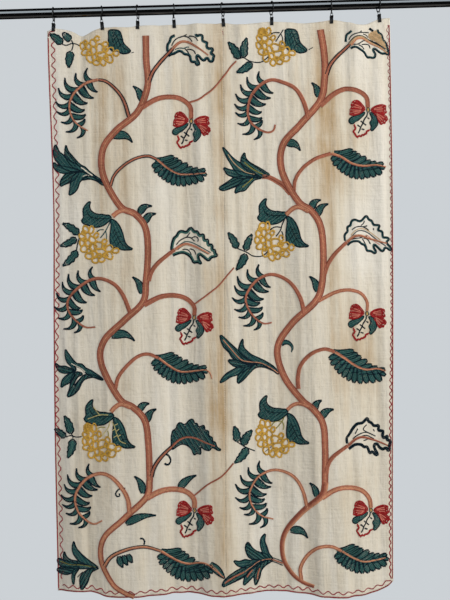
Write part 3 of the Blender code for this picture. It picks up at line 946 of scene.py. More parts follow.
def work_between(first_edge, second_edge, fill, vein=None):
    """Fills the space between two edges that meet at the tip, then works both edges."""
    middle = (first_edge + second_edge) / 2
    across = (first_edge - second_edge) / 2
    half = np.linalg.norm(across, axis=1)
    aside = across / (half[:, None] + 1e-6)
    count = int((half.max() - FILL_INSET) / LEAF_ROW)
    for k in range(-count, count + 1):
        inside = np.flatnonzero(half - FILL_INSET > abs(k) * LEAF_ROW)
        if len(inside) > 1:
            row = middle + aside * (k * LEAF_ROW)
            work_row(row[inside[0]:inside[-1] + 1], fill[abs(k) % len(fill)])
    for line in (first_edge, second_edge):
        work_row(line, "navy", EDGE_YARN, lift=0.3)
    if vein:
        work_row(middle[1:int(len(middle) * VEIN_SHARE)], vein, 2.2, lift=0.7, rise=0.8)


def work_leaf(base, tip, width, bend=0.0, outline=POINTED, fill=("teal", "leaf_green"), vein=None):
    """One leaf from base to tip; a positive bend bows it to the left of its way."""
    base, tip = np.array(base, float), np.array(tip, float)
    way = tip - base
    length = np.linalg.norm(way)
    knee = base + way * 0.5 + np.array([way[1], -way[0]]) * bend
    t = np.linspace(0.0, 1.0, max(8, int(length * 1.6)))[:, None]
    middle = (1 - t) ** 2 * base + 2 * t * (1 - t) * knee + t ** 2 * tip
    half = left_of(middle) * (smooth_lookup(outline, t[:, 0], 1) * width / 2)[:, None]
    work_between(middle + half, middle - half, fill, vein)


def frame_along(stem, share, side):
    """The place, the way on and the way outward at a share of a stem's length."""
    line = curve(stem)
    reach = lengths_along(line)
    k = int(np.argmin(np.abs(reach - share * reach[-1])))
    ahead, behind = line[min(k + 2, len(line) - 1)], line[max(k - 2, 0)]
    way = (ahead - behind) / np.linalg.norm(ahead - behind)
    return line[k], way, np.array([way[1], -way[0]]) * side


# Edges of a frond's leaflets: steps on along the stem and outward from it, to a hooked tip
OUTER_BACK = ((-2.8, 0.3), (-0.4, 2.2), (1.1, 4.8), (1.5, 7.6), (0.7, 10.6), (-2.0, 13.8))
OUTER_FRONT = ((3.4, 0.3), (4.8, 2.4), (4.9, 4.9), (4.2, 7.6), (2.2, 10.6), (-2.0, 13.8))
INNER_BACK = ((-3.0, 0.3), (-1.6, 4.4), (-0.2, 8.2), (0.6, 11.8), (-0.4, 15.4))
INNER_FRONT = ((3.2, 0.3), (4.9, 4.2), (4.7, 8.8), (2.9, 12.6), (-0.4, 15.4))
# Share along the stem, size, lean onward
OUTER_LEAFLETS = (
    (0.1, 13.0, 0.1), (0.21, 14.8, 0.12), (0.32, 16.4, 0.12), (0.415, 15.4, 0.14), (0.51, 14.4, 0.14),
    (0.6, 13.2, 0.14), (0.69, 12.2, 0.1), (0.79, 14.2, 0.1), (0.89, 11.4, 0.1),
)
INNER_LEAFLETS = (
    (0.13, 13.6, -0.34), (0.26, 16.4, -0.2), (0.39, 16.8, -0.02), (0.53, 15.2, 0.24), (0.68, 13.2, 0.3),
    (0.84, 9.6, 0.12),
)


def work_frond_leaf(stem, share, side, size, lean, back, front):
    """One leaflet at a share of a stem's length, between a back and a front edge."""
    place, way, outward = frame_along(stem, share, side)
    scale = size / back[-1][1]
    edges = []
    for chart in (back, front):
        on, out = np.array(chart).T * scale
        on = on + out * lean
        edge = curve(place + np.outer(on, way) + np.outer(out, outward), 0.7)
        spots = np.linspace(0.0, 1.0, 22) * lengths_along(edge)[-1]
        edges.append(np.stack([np.interp(spots, lengths_along(edge), edge[:, k]) for k in (0, 1)], axis=1))
    work_between(edges[0], edges[1], ("teal", "leaf_green", "teal", "navy"))


# Curled part of each frond's stem
FRONDS = (
    ((98.3, 79.8), (87.6, 82.5), (77, 90), (71, 99), (69.5, 108.5), (73, 119), (79.6, 126), (90, 131)),
    ((102, 279), (94, 279), (87.6, 281.5), (75.5, 290.5), (68, 300.8), (69, 311.5), (77, 321.5), (88, 327.5)),
    ((99.6, 473.5), (87.6, 478), (79, 487.5), (75, 499), (78.5, 512), (86.2, 520), (92, 523.5)),
    ((271, 80), (260.2, 85.3), (252, 95), (248, 107), (249, 119), (256.2, 127.5), (266, 132.2)),
    ((269.6, 274.5), (257.5, 279.8), (248.8, 290), (245.6, 299.5), (249, 310), (256.2, 319), (266, 324)),
    ((271, 470.3), (258.8, 476.3), (251.5, 487), (249.4, 496.4), (253, 507), (261.5, 515.5), (272, 519)),
)
for stem in FRONDS:
    for share, size, lean in OUTER_LEAFLETS:
        work_frond_leaf(stem, share, -1, size * chance.uniform(0.94, 1.06), lean, OUTER_BACK, OUTER_FRONT)
    for share, size, lean in INNER_LEAFLETS:
        work_frond_leaf(stem, share, 1, size * chance.uniform(0.94, 1.06), lean, INNER_BACK, INNER_FRONT)
sew_piece("fern_fronds")


# Filled shapes. Petals, horned leaves and the broad leaf are hatched in straight rows within
# their outline, then edged.
ROW_INSET = 0.45
SHORTEST_HATCH = 2.4 * ROW_INSET
# How far within the outline the first row and the last can lie
FIRST_ROW = LEAF_ROW * 0.7
LAST_ROW = LEAF_ROW * 0.4


def closed_curve(points, step=1.0):
    """A smooth closed line through chart points."""
    points = np.asarray(points, float)
    ring = curve(np.concatenate([points[-2:], points, points[:2]]), step)
    first = int(np.argmin(np.linalg.norm(ring - points[0], axis=1)))
    gaps = np.linalg.norm(ring - points[0], axis=1)
    later = first + 5 + int(np.argmin(gaps[first + 5:]))
    return ring[first:later + 1]


def work_shape(outline, angle, wool_order, edge, edge_width=EDGE_YARN):
    """Hatches a closed outline in rows at an angle, then works its edge."""
    ring = closed_curve(outline)
    turn = math.radians(angle)
    axes = np.array([(math.cos(turn), math.sin(turn)), (-math.sin(turn), math.cos(turn))])
    flat = ring @ axes.T
    levels = np.arange(flat[:, 1].min() + FIRST_ROW, flat[:, 1].max() - LAST_ROW, LEAF_ROW)
    for k, level in enumerate(levels):
        before, after = flat[:-1], flat[1:]
        crossing = (before[:, 1] <= level) != (after[:, 1] <= level)
        low, high = before[crossing], after[crossing]
        share = (level - low[:, 1]) / (high[:, 1] - low[:, 1])
        places = np.sort(low[:, 0] + share * (high[:, 0] - low[:, 0]))
        for first, last in zip(places[::2], places[1::2]):
            if last - first > SHORTEST_HATCH:
                row = np.linspace((first + ROW_INSET, level), (last - ROW_INSET, level), 6) @ axes
                work_row(row, wool_order[k % len(wool_order)])
    if edge:
        work_row(ring, edge, edge_width, lift=0.3)


# Broad leaves of the feathered kind: a comb of round-ended fingers fans below a bent midrib,
# and a few longer ones lie forward along its upper side. One chart serves all six, turned and
# sized between two anchors, the tips of its first and last lower fingers.
CHART_ANCHORS = ((152.5, 166.0), (205.0, 170.5))
LEAF_ANCHORS = (
    ((152.5, 166), (205, 170.5)),
    ((152, 363.5), (206, 367.5)),
    ((158, 557), (212, 567.5)),
    ((331.5, 159), (383, 164)),
    ((329.5, 357.5), (384.5, 370)),
    ((335, 557), (386.5, 555)),
)
# Every finger starts a little behind the midrib and leaves its neighbours a notch
ROOT_SHARE = 0.24
NOTCH = 1.5
# Base, tip, width, bend
FINGERS = (
    ((158.5, 159.8), (174.4, 156.6), 7.6, -0.14), ((162.5, 163.6), (178.4, 158.8), 7.4, -0.12),
    ((166, 167), (181.8, 160.8), 7.4, -0.12),
    ((171, 170.5), (187.8, 163.4), 7.2, -0.12), ((177.5, 173.4), (192.8, 167), 6.8, -0.12),
    ((184.5, 174.3), (198.2, 168.2), 6.6, -0.12), ((192.5, 173.8), (205.4, 169.2), 6.4, -0.1),
    ((160.5, 161.5), (152.1, 167.2), 6.6, 0.05), ((162.5, 165), (154.3, 172.2), 6.2, 0.05),
    ((165.3, 167.8), (158.6, 176.2), 6.2, 0.05), ((168, 170), (162.3, 179.6), 6.2, 0.05),
    ((171.2, 172), (167, 182.6), 6.4, 0.04), ((174.6, 173.7), (172.3, 185.2), 6.4, 0.03),
    ((178, 174.9), (178.3, 186.3), 6.4, 0.0), ((182, 175.4), (184.6, 186.4), 6.6, -0.03),
    ((186.5, 175.3), (190.8, 184.9), 6.8, -0.04), ((191.5, 174.8), (197.2, 183.6), 6.8, -0.05),
    ((197, 173.8), (203.4, 181.2), 6.8, -0.05), ((200.5, 172.6), (206.8, 175.4), 5.0, 0.0),
)


def on_leaf(points, anchors):
    """Chart points turned and sized from the chart's anchors to a leaf's own."""
    chart = np.array(CHART_ANCHORS) @ (1.0, 1.0j)
    leaf = np.array(anchors) @ (1.0, 1.0j)
    turned = (np.array(points) @ (1.0, 1.0j) - chart[0]) * (leaf[1] - leaf[0])
    moved = leaf[0] + turned / (chart[1] - chart[0])
    return np.stack([moved.real, moved.imag], axis=-1)


for anchors in LEAF_ANCHORS:
    for base, tip, width, bend in FINGERS:
        base, tip = on_leaf((base, tip), anchors)
        root = base + (base - tip) * ROOT_SHARE
        work_leaf(root, tip, width - NOTCH, bend, ROUNDED, ("leaf_green", "teal"))
work_leaf((210, 563.5), (224.6, 578.6), 7.0, 0.06, SPEAR, vein="salmon")
sew_piece("feathered_leaves")


# Scalloped leaves. Most are left open: one or two rows of teal draw the outline, with ink
# veins inside. One is worked solid.
UPPER_LEFT_SHOULDER = (
    (167.7, 51.7), (167.3, 47.6), (167.7, 44.3), (169.8, 41.9), (170.4, 38.6), (172.2, 36.4), (175.1, 35.7),
)
UPPER_LEFT_SCALLOPS = (
    (195.9, 33.7), (196.7, 36.2), (200, 34.9), (202.4, 35.7), (202.4, 39), (202.2, 40.6), (204.5, 41.9),
    (207.3, 42.7), (206.5, 45.5), (206.8, 47.4), (208.9, 48.8), (212.2, 48.4), (213, 50), (211, 52.5),
    (211.4, 54.1), (213.8, 54.9), (214.2, 56.5), (212.8, 58.2), (213.4, 60.2), (211.4, 61.8), (208.9, 60.6),
    (208.1, 58.2), (205.7, 58.2), (204.5, 60.6), (201.6, 59.4), (199.2, 56.5), (197.3, 54.9), (196.3, 57.4),
    (197.5, 60.2), (199.2, 63.1), (197.9, 65.1), (195.9, 63.9), (195.1, 61.4), (192.6, 62.3), (190.6, 59.8),
    (190.2, 56.5), (188.1, 54.5), (184.5, 54.1), (181.2, 51.2), (178, 51.2), (174.7, 53.3), (170.6, 54.5),
    (168.2, 56.1),
)
MIDDLE_LEFT_SCALLOPS = (
    (171.7, 250.3), (172.1, 245), (174.2, 238.1), (176.9, 236.2), (178.2, 233.1), (181.1, 231.2),
    (186.4, 232.5), (189.5, 228.9), (191.6, 228.3), (194.1, 232), (197.1, 231.6), (199.6, 235.8),
    (203.3, 234.6), (203.7, 239.2), (205.2, 240.8), (207.8, 239.9), (208, 245), (211.9, 245), (212, 250),
    (215.1, 250.3), (214.4, 252.8), (216.9, 255.5), (213.2, 256.6), (210.5, 257.4), (208.6, 260.3),
    (203.3, 256.3), (200, 254), (198, 255), (198.7, 259.7), (201, 263.6), (197.5, 261.6), (193.9, 262.4),
    (192, 258.7), (189.5, 255.5), (183.4, 252.4), (177, 253.4), (172.7, 255.3),
)
UPPER_RIGHT_SHOULDER = ((345.7, 42.2), (345.8, 39.2), (346.4, 35.1), (349.3, 32.8), (351.8, 30.6))
UPPER_RIGHT_CREST = ((369.2, 28.2), (371.7, 30.3), (373.5, 31.2))
UPPER_RIGHT_SCALLOPS = (
    (377.8, 29.3), (378.1, 32.5), (381.3, 34.3), (382.4, 37.8), (383.1, 40), (385.6, 42.8), (387, 47.8),
    (388.6, 52.1), (388.8, 54.7), (387, 54.2), (384.9, 53.1), (382.7, 53.8), (379.2, 52.1), (376.3, 49.6),
    (373.5, 48.5), (373.5, 51.4), (375.3, 53.5), (374.9, 57.1), (372.4, 58.1), (369.9, 57.1), (367.8, 57.8),
    (365.7, 54.9), (364.2, 52.1), (360.7, 49.6), (357.1, 47.1), (353.5, 46.7), (350.6, 48.6),
)
FADED_HALF = (
    (368.5, 33), (375.8, 29.8), (378.2, 33.2), (381.7, 34.9), (382.8, 38.5), (385.3, 42.9), (387, 47.5),
    (388, 52), (384.6, 48.2), (379.8, 44.6), (374, 41.4), (368.4, 38.6),
)
MIDDLE_RIGHT_SCALLOPS = (
    (345, 241.1), (344.6, 235), (347.6, 231.4), (347.2, 227), (350.4, 225.6), (351.3, 221.6), (354.4, 219.6),
    (358.6, 221.1), (361.4, 220.8), (366.3, 215.9), (368.9, 219.8), (371.8, 220.7), (373.6, 224.9),
    (379.4, 225.4), (378, 230.3), (382.1, 231.6), (383, 237.4), (387, 237.5), (389, 239.5), (386.4, 242.5),
    (391, 248.2), (390.2, 250.4), (385.4, 247.3), (382.5, 251.4), (377.5, 247), (374, 244.3), (373.8, 248),
    (376.1, 251.8), (374.6, 253.3), (370.7, 250.9), (367.1, 250.9), (366.2, 247.9), (364.3, 244.8),
    (361.4, 243.9), (359.3, 241.6), (355, 241), (350.7, 242.3), (347.1, 245.4),
)
LOWER_RIGHT_SCALLOPS = (
    (347.3, 443.8), (346.7, 438), (349.5, 434), (352, 429.5), (356.8, 424), (362.5, 422.7), (367.1, 418.1),
    (368.4, 421.5), (371.3, 422.6), (374.3, 426), (378.6, 425.2), (378.5, 430.4), (383, 430.8),
    (382.4, 435.5), (384, 438), (387.5, 435.8), (386.9, 440), (389.6, 440.2), (390.4, 443), (388.9, 445.4),
    (389.8, 448.6), (388.2, 450.9), (386.3, 447.6), (382.9, 449.3), (379.5, 447.2), (377, 443.8),
    (374.2, 444.5), (374.6, 448.3), (377.8, 454.4), (375.6, 454.8), (372.2, 451.4), (369.8, 453.2),
    (368.2, 449), (366.6, 446.4), (364.1, 447.2), (361.7, 444.8), (356.1, 444.2), (351.8, 446.6),
    (348.6, 449.1),
)
# Each of an outline's two rows is this share of their joint width
OUTLINE_ROW = 0.62
# Outline, wool of its inner row, width of the two rows
OPEN_LEAVES = (
    (UPPER_LEFT_SHOULDER, "teal", 2.5),
    (UPPER_LEFT_SCALLOPS, "teal", 2.5),
    (MIDDLE_LEFT_SCALLOPS, "leaf_green", 2.9),
    (UPPER_RIGHT_SHOULDER, "teal", 2.2),
    (UPPER_RIGHT_CREST, "navy", 2.2),
    (UPPER_RIGHT_SCALLOPS, "teal", 2.1),
    (MIDDLE_RIGHT_SCALLOPS, "teal", 2.2),
    (LOWER_RIGHT_SCALLOPS, "navy", 2.7),
)
# Veins inside the open leaves: wool, width before its growth, line
VEIN_GROWTH = 1.2
LEAF_VEINS = (
    ("ink", 3.0, ((171.5, 46), (173.9, 41.3), (177.9, 37.9), (183.7, 36.2), (186.9, 34.3))),
    ("ink", 3.0, ((184, 36.2), (188.5, 37.4), (191, 39.8), (192.2, 41.9))),
    ("ink", 3.0, ((188.5, 36.2), (192.6, 36.2), (195.9, 37.8), (197.9, 41.1))),
    ("teal", 2.8, ((174.7, 49.6), (179.6, 48), (184.5, 48.4), (186.9, 46.8), (189.4, 47.4))),
    ("ink", 3.0, ((184.8, 48.6), (187.5, 51.2), (188.8, 54))),
    ("ink", 3.0, ((186.9, 49.2), (191.4, 49.6), (194.3, 51.2), (195.6, 54.4))),
    ("ink", 2.8, ((176.1, 245), (179.5, 240.8), (183.4, 238.5), (186.4, 237.3), (189.9, 237.3),
                  (192.6, 239.2), (194.7, 241.5))),
    ("ink", 2.8, ((186.4, 237.3), (188, 235.4), (190.3, 232.3))),
    ("ink", 2.8, ((191.4, 238.1), (195.2, 236.4), (197.5, 237.7), (198.7, 239.6), (197.5, 241.7))),
    ("ink", 2.8, ((182.2, 249.6), (186.4, 249.2), (189.9, 251.5), (191.4, 255.7))),
    ("ink", 2.8, ((189.5, 248.8), (193.3, 249.6), (195.2, 252.2), (196, 254.9))),
    ("teal", 2.6, ((176.5, 247.2), (180.3, 244.4), (184.1, 242), (188, 241.6), (193.7, 243.2),
                   (203.3, 248.4), (211, 252.8))),
    ("teal", 2.6, ((177.5, 249.6), (181, 247), (184.6, 244.9), (188, 244.4), (193.2, 246), (202.6, 251.2),
                   (208.5, 254.4))),
    ("ink", 2.8, ((351.8, 230), (355, 227.5), (358.9, 226.4), (362.9, 226.8), (367.5, 225.7))),
    ("ink", 2.8, ((362.9, 226.8), (366.8, 228.6), (368.9, 230.7))),
    ("ink", 2.8, ((360.7, 225.7), (363.6, 223.2), (364.5, 220.4))),
    ("ink", 2.8, ((373.6, 227.9), (373.4, 230.4))),
    ("ink", 2.8, ((348.2, 240.4), (354.3, 238.6), (360, 237.9), (363.6, 236.4), (367.5, 236.1))),
    ("ink", 2.8, ((362.1, 238.2), (364.3, 242.1), (366.8, 247.5))),
    ("ink", 2.8, ((363.2, 238.2), (366.4, 238.6), (368.6, 240.7), (370.4, 244.3))),
    ("navy", 2.6, ((350.4, 237.9), (353.6, 234.6), (356.1, 231.8), (360, 230.4), (364.3, 231.1),
                   (368.6, 233.2), (373.9, 237.5), (379.3, 241.8), (386.1, 246.1))),
    ("tan", 2.4, ((350.8, 235.6), (354.4, 231.2), (359.6, 228.6), (365, 229.3), (370.4, 232.4),
                  (375.7, 236.4), (381, 240.4))),
    ("pink", 1.8, ((366, 234.6), (370, 237.4), (374, 241), (380, 245))),
    ("ink", 2.8, ((357.9, 428.4), (356.6, 431), (355, 434.1))),
    ("ink", 2.8, ((366.8, 424.5), (364.6, 426.8), (362.9, 429.5), (367.5, 432.4))),
    ("ink", 2.8, ((373.2, 429.1), (374.6, 431.6))),
    ("ink", 2.8, ((363.2, 440.6), (366, 440), (368.6, 438.2))),
    ("navy", 2.8, ((352.5, 438.9), (357.1, 435.4), (362.1, 433), (366.8, 432.3), (371.1, 434),
                   (375.7, 436.3))),
    ("navy", 2.8, ((353.3, 442), (357.9, 438.5), (362.5, 436), (366.8, 435.3), (370.6, 437.1),
                   (374, 438.9))),
    ("ink", 2.8, ((348.6, 40), (351.4, 35.7), (355.7, 33.3), (360, 32.5), (361.7, 30.3))),
    ("ink", 2.8, ((360.4, 32.5), (364.2, 32.5), (369, 32.8))),
    ("ink", 2.8, ((362.8, 33.9), (366.4, 35.3), (367.8, 37.8))),
    ("ink", 2.8, ((349.3, 44.7), (353.5, 44.3), (358.5, 43.9), (362.1, 41.4), (365.2, 40.3))),
    ("ink", 2.8, ((358.5, 44.6), (362.8, 47.1), (363.9, 49.8))),
    ("ink", 2.8, ((361.4, 44.6), (366.4, 44.2), (369.6, 45.7), (369.8, 48.8))),
    ("ink", 3.4, ((366.4, 39.2), (373.5, 42.1), (380.6, 45.7), (385.6, 49.4))),
)
SOLID_LEAF = (
    (171.4, 447), (171.1, 438.9), (171.9, 433.1), (173.7, 429.6), (175.9, 429.4), (177.7, 423.9),
    (180.6, 422.5), (184.4, 424.9), (187, 422.7), (189.8, 419.8), (192.7, 419), (194.1, 421.5),
    (194.7, 424.1), (197.2, 422.9), (198.8, 427.2), (203.7, 425), (204.8, 426.7), (205, 430.4),
    (208.5, 430.8), (208.9, 436), (212.5, 437.3), (212.6, 441.4), (216, 442.3), (215.8, 444.8),
    (218.1, 448.1), (221.4, 449.8), (218.1, 450.6), (214.7, 448.3), (211.5, 447.5), (210, 450.4),
    (207.2, 450.4), (204.3, 449.3), (200.3, 446.7), (201, 450.5), (200.6, 454.6), (196.9, 453),
    (194.3, 455.4), (193, 452.7), (191.6, 449), (187, 445.2), (183.5, 444.1), (180, 444.6), (175.4, 447.5),
    (171.9, 449.8),
)
SOLID_LEAF_MIDRIB = ((172, 446.5), (179, 440), (187, 436.6), (196, 438), (205, 442), (215, 446.5))
work_shape(FADED_HALF, 35.0, ("tan",), None)
for outline, inner_wool, width in OPEN_LEAVES:
    ring = curve(outline, 0.9)
    aside = left_of(ring)
    for wool, off in (("navy", width / 4), (inner_wool, -width / 4)):
        work_row(ring + aside * off, wool, width * OUTLINE_ROW * PIXEL, stitch=3.4)
for wool, width, line in LEAF_VEINS:
    work_row(curve(line, 0.9), wool, width * VEIN_GROWTH, rise=0.9, lift=0.1)
work_shape(SOLID_LEAF, 58.0, ("teal", "teal", "leaf_green", "navy"), "navy")
work_row(curve(SOLID_LEAF_MIDRIB), "terracotta", 2.6, lift=1.1)
sew_piece("scalloped_leaves")


# Sprays. Four to six long leaves spring from one stalk, each worked solid in its own
# direction and edged in navy. Pale slits and warm midribs run down some of them.
# Angle of the rows, outline
SPRAY_LEAVES = (
    (50, ((55.5, 144.6), (53.5, 151), (54.5, 157.5), (58, 163), (66, 170), (78, 172), (84, 170), (76, 164),
          (66, 158.5), (63.8, 155), (59.8, 152.4), (57.9, 148.7))),
    (50, ((66, 145), (65, 150), (65, 155.5), (68, 162), (74, 168), (80.5, 170.5), (88, 174), (96, 179),
          (102, 182.5), (100.6, 179.5), (95.4, 176), (88.7, 170.8), (85.6, 167.3), (80.8, 164.9),
          (77.3, 161.7), (72.5, 156.2), (68.2, 151))),
    (20, ((53.8, 162.2), (53.4, 166.9), (56.7, 170.8), (61, 172.8), (66, 173.6), (74, 173), (80, 171),
          (72, 168), (62, 166), (57, 165))),
    (-35, ((60.6, 186.4), (60.2, 181.9), (62.6, 177.5), (65.8, 174), (72, 172), (79, 171.5), (78, 176),
           (73, 181), (70.1, 182.5), (64.6, 184.5))),
    (-65, ((69.2, 195.2), (69.9, 189.4), (70.4, 183.5), (72.5, 177), (77, 173), (83, 172), (88, 175.5),
           (84, 178.6), (79.8, 182), (78.1, 187.4), (74.9, 192.2))),
    (15, ((82, 179.5), (86, 177), (91, 176.8), (97, 178.6), (103.5, 183.5), (103, 185.4), (96, 180.6),
          (89.5, 179), (85, 179.8))),
    (50, ((65.5, 349.2), (65.1, 354.9), (66.7, 361.3), (70.9, 366.3), (75.4, 371.2), (76, 368), (74, 365.5),
          (77, 366.4), (82, 368.8), (86, 373), (93, 377), (103, 380.4), (102.5, 378.4), (96.6, 374.1),
          (91.2, 370.5), (86.1, 368.2), (81.9, 364), (77.3, 363.6), (73.5, 360.2), (68, 352.8))),
    (15, ((55.4, 363), (57, 368.6), (59.5, 371.5), (62.5, 372.8), (67.6, 373.2), (73, 371.5), (74.5, 369.5),
          (71, 368.6), (65, 366.1), (60, 366.2))),
    (-45, ((61, 387.4), (62.3, 380.2), (66.3, 375.6), (72, 372.6), (75.5, 371.2), (74, 376), (71.8, 380),
           (70.1, 382.5), (65, 385))),
    (-60, ((67.3, 396.6), (69.9, 387.8), (70.8, 380.2), (73.5, 373.7), (77, 371.8), (82.7, 373.3),
           (81.5, 375.2), (78, 376.8), (74.6, 382.5), (74, 386), (80, 379), (84, 375), (90, 374.6),
           (97, 376), (103, 380), (96.6, 377.5), (90.3, 377.5), (84.4, 379.6), (81.1, 384.2), (78.5, 389.7),
           (73.5, 394.7))),
    (55, ((74, 541.2), (72.2, 547.6), (73.4, 553.7), (76.8, 558.6), (80.5, 562), (88, 565.6), (98, 567.8),
          (97.1, 566.4), (92.8, 563), (86.7, 558.7), (81, 553.5), (75.8, 547.2))),
    (45, ((64.5, 551.4), (63.4, 556.1), (64.2, 561), (70, 564), (80, 564.5), (88, 565.5), (82, 562.4),
          (77.3, 561), (71.6, 560.1), (66.9, 556.8))),
    (12, ((57.2, 559.2), (59.2, 558.2), (64, 560), (72, 562.2), (82, 564), (96, 567.6), (86, 568.6),
          (76, 568.6), (66, 568), (61.5, 566.4), (58.4, 563.6))),
    (12, ((56.8, 569.2), (60.1, 572.8), (66.9, 574.4), (72.8, 572.2), (78, 569), (80, 567), (70, 566.8),
          (62, 566.8))),
    (80, ((73.6, 584.8), (72, 579.2), (72.3, 573.5), (74, 569.5), (79, 567.8), (78, 570.5), (75.2, 574.5),
          (74.6, 579.2))),
    (-62, ((81.7, 589.8), (80, 583), (80.4, 576.8), (83.7, 572.4), (88, 569.5), (94, 567.5), (99, 568.2),
           (96, 569.6), (91.6, 572.3), (89.3, 577.3), (87.4, 583))),
    (52, ((222.8, 147), (226, 155.7), (230.6, 163.9), (235.2, 171), (241, 175.4), (250, 177), (259, 177.5),
          (252, 172.5), (246, 168.6), (241.5, 163.7), (236.4, 160.6), (231.8, 156.6))),
    (35, ((244.7, 152.6), (241.3, 157.8), (241.3, 163.9), (246, 170), (253, 174.5), (261, 177.7),
          (269.6, 175), (265, 171.4), (258.4, 167.3), (250.2, 162.7), (245.8, 158.1))),
    (15, ((223.8, 167.6), (227, 174.2), (232.9, 176.9), (242, 178.4), (252, 178), (258, 177), (248, 174),
          (240, 171.4), (234.9, 170.3), (229, 169.6))),
    (-25, ((219.2, 187.8), (222.5, 190.6), (230.3, 188.6), (236.9, 186), (246, 182), (254, 178), (246, 176),
           (239, 176.6), (233.9, 177.5), (226.7, 182.6))),
    (-48, ((235, 193.2), (236.7, 186.9), (242, 181), (249, 177.5), (256, 176.5), (262, 177.9), (258, 179),
           (253.9, 180.4), (249.7, 185), (244.6, 190.6), (239.6, 191.4))),
    (50, ((220.8, 334.9), (220.7, 339.8), (223.4, 346.7), (228.7, 352.1), (232.8, 358.3), (239, 361),
          (248, 363.6), (258, 364.6), (252, 361.2), (245.2, 356.7), (238.5, 350.8), (229.6, 342.7))),
    (35, ((242.9, 338.8), (239.5, 345.6), (239, 351.4), (244.8, 357.9), (252, 361.6), (262, 364.5),
          (272, 370), (279, 374.6), (274.2, 367), (265.2, 361.1), (258.5, 357.9), (251.8, 354.8),
          (247.4, 351.2), (243.4, 346.5))),
    (12, ((228.4, 359.8), (231, 364.1), (236, 366.9), (245, 367.2), (252, 365.6), (256, 363.6),
          (246, 362.6), (238, 360.6))),
    (-30, ((219.7, 382.6), (224.9, 374.9), (230.7, 370.9), (236.5, 367.7), (244, 365.4), (252, 364.6),
           (249, 368.4), (244.6, 370.6), (238.3, 374.6), (230.7, 376.8), (224.9, 380.8))),
    (-50, ((237.7, 383.4), (238.1, 375.5), (244.4, 368.6), (250, 365.2), (258, 363.6), (266, 365.2),
           (273, 370.5), (265.1, 367.4), (258.4, 366.9), (253.9, 368.7), (249.5, 373.2), (243.7, 379.5))),
    (75, ((265.3, 533.7), (261.1, 538), (260.4, 544.6), (262, 550.8), (264, 556.6), (270, 559.4),
          (273, 558.6), (269.1, 553.4), (266.7, 546), (264.8, 540.9))),
    (35, ((247.9, 542), (245.5, 546.5), (246, 551.2), (248.8, 557.1), (253.8, 559.3), (262, 560.6),
          (270, 559.5), (267, 554.3), (261.3, 552.5), (256.1, 551), (251.9, 547.2))),
    (-8, ((233.8, 560.6), (236.8, 565.1), (241, 567), (246.2, 567.6), (252.5, 565.6), (259, 562.6),
          (264, 560.4), (256, 559.2), (250, 560.5), (245.3, 559.5), (239.6, 561.4))),
    (-30, ((222.7, 586.8), (224, 580.8), (230.2, 575.1), (237.2, 570.4), (245, 566.6), (256, 562),
           (268, 558.6), (262, 562.6), (252.1, 569.4), (245.3, 576), (239.6, 579.3), (231.6, 583.1))),
    (-48, ((243.6, 585.2), (244.6, 577.2), (248.8, 571.3), (253.6, 566.1), (261, 562), (260, 566),
           (256.3, 570.8), (253.8, 575.7), (249, 580.9))),
    (-70, ((255.6, 585.2), (254, 577.2), (255.9, 570.1), (258.3, 564.9), (264, 561), (273, 559.6),
           (271.7, 561.3), (265.8, 565.1), (261.5, 570.3), (259.6, 577.4))),
)
# Slits, midribs and stalks of the sprays: wool, width, line
SPRAY_VEINS = (
    ("white", 4.2, ((80.8, 167.3), (84, 169.4), (88, 172.6), (92.7, 176))),
    ("white", 3.0, ((82.5, 177), (85, 175.3), (88, 175.2))),
    ("white", 3.0, ((71, 363.4), (76, 365.8), (81.9, 368.8), (85.3, 372.4))),
    ("olive", 2.8, ((59.8, 560.8), (65.9, 563.1), (71.6, 564.6), (80.1, 564.8), (89.1, 566), (96, 567.2))),
    ("navy", 2.4, ((77.3, 577.3), (80, 574.4), (82.9, 571.6))),
    ("tan", 2.6, ((227.8, 154.2), (232.9, 161.9), (239.5, 168), (245.6, 172.2), (254.8, 174.6))),
    ("olive", 3.2, ((244.1, 162.4), (250.7, 167.8), (257, 171.6), (263, 174.2))),
    ("olive", 3.2, ((252.8, 178.2), (247.7, 182.8), (242, 187.4))),
    ("salmon", 3.0, ((222.7, 339.4), (229.4, 347), (236.1, 355), (241.9, 360.2), (249.9, 361.9),
                     (256.2, 362.3), (262.9, 363.7), (273.1, 369.3), (278.5, 373.3))),
    ("terracotta", 5.2, ((224.5, 583.3), (229, 580), (234.9, 576.4), (244.3, 572))),
    ("salmon", 2.8, ((244.3, 572), (252.8, 565.6), (258.5, 561.3), (265.6, 559.2), (271.7, 558.8))),
    ("terracotta", 4.6, ((246.7, 577.2), (249.6, 573), (252.8, 569.2))),
    ("terracotta", 4.6, ((257.1, 579.6), (258, 573.6), (259.9, 567.8))),
    ("navy", 2.6, ((271.7, 557.4), (277, 559), (283, 561.6))),
    ("terracotta", 4.2, ((271.7, 559.2), (277, 561), (283, 563.4))),
    ("navy", 2.6, ((271.7, 561), (277, 562.8), (283, 565.4))),
)
SPRAY_BRANCH = ((262, 176.8), (268.6, 177.2), (276.2, 180.9), (284, 186), (291, 194))
work_band(SPRAY_BRANCH, 4.2, 5.6, ("terracotta", "terracotta", "deep_terracotta", "terracotta"))
SPRAY_FILLS = (("teal", "teal", "leaf_green"), ("teal", "leaf_green", "navy"))
for k, (angle, outline) in enumerate(SPRAY_LEAVES):
    work_shape(outline, angle, SPRAY_FILLS[k % 2], "navy")
for wool, width, line in SPRAY_VEINS:
    work_row(curve(line, 0.9), wool, width, lift=0.8)
sew_piece("sprays")


# Small pointed leaves, set along the stems and at the ends of fine sprigs, and threads of one
# row that join or hang from them.
PLAIN_FILL = ("teal", "leaf_green")
GREEN_FILL = ("leaf_green", "leaf_green", "teal")
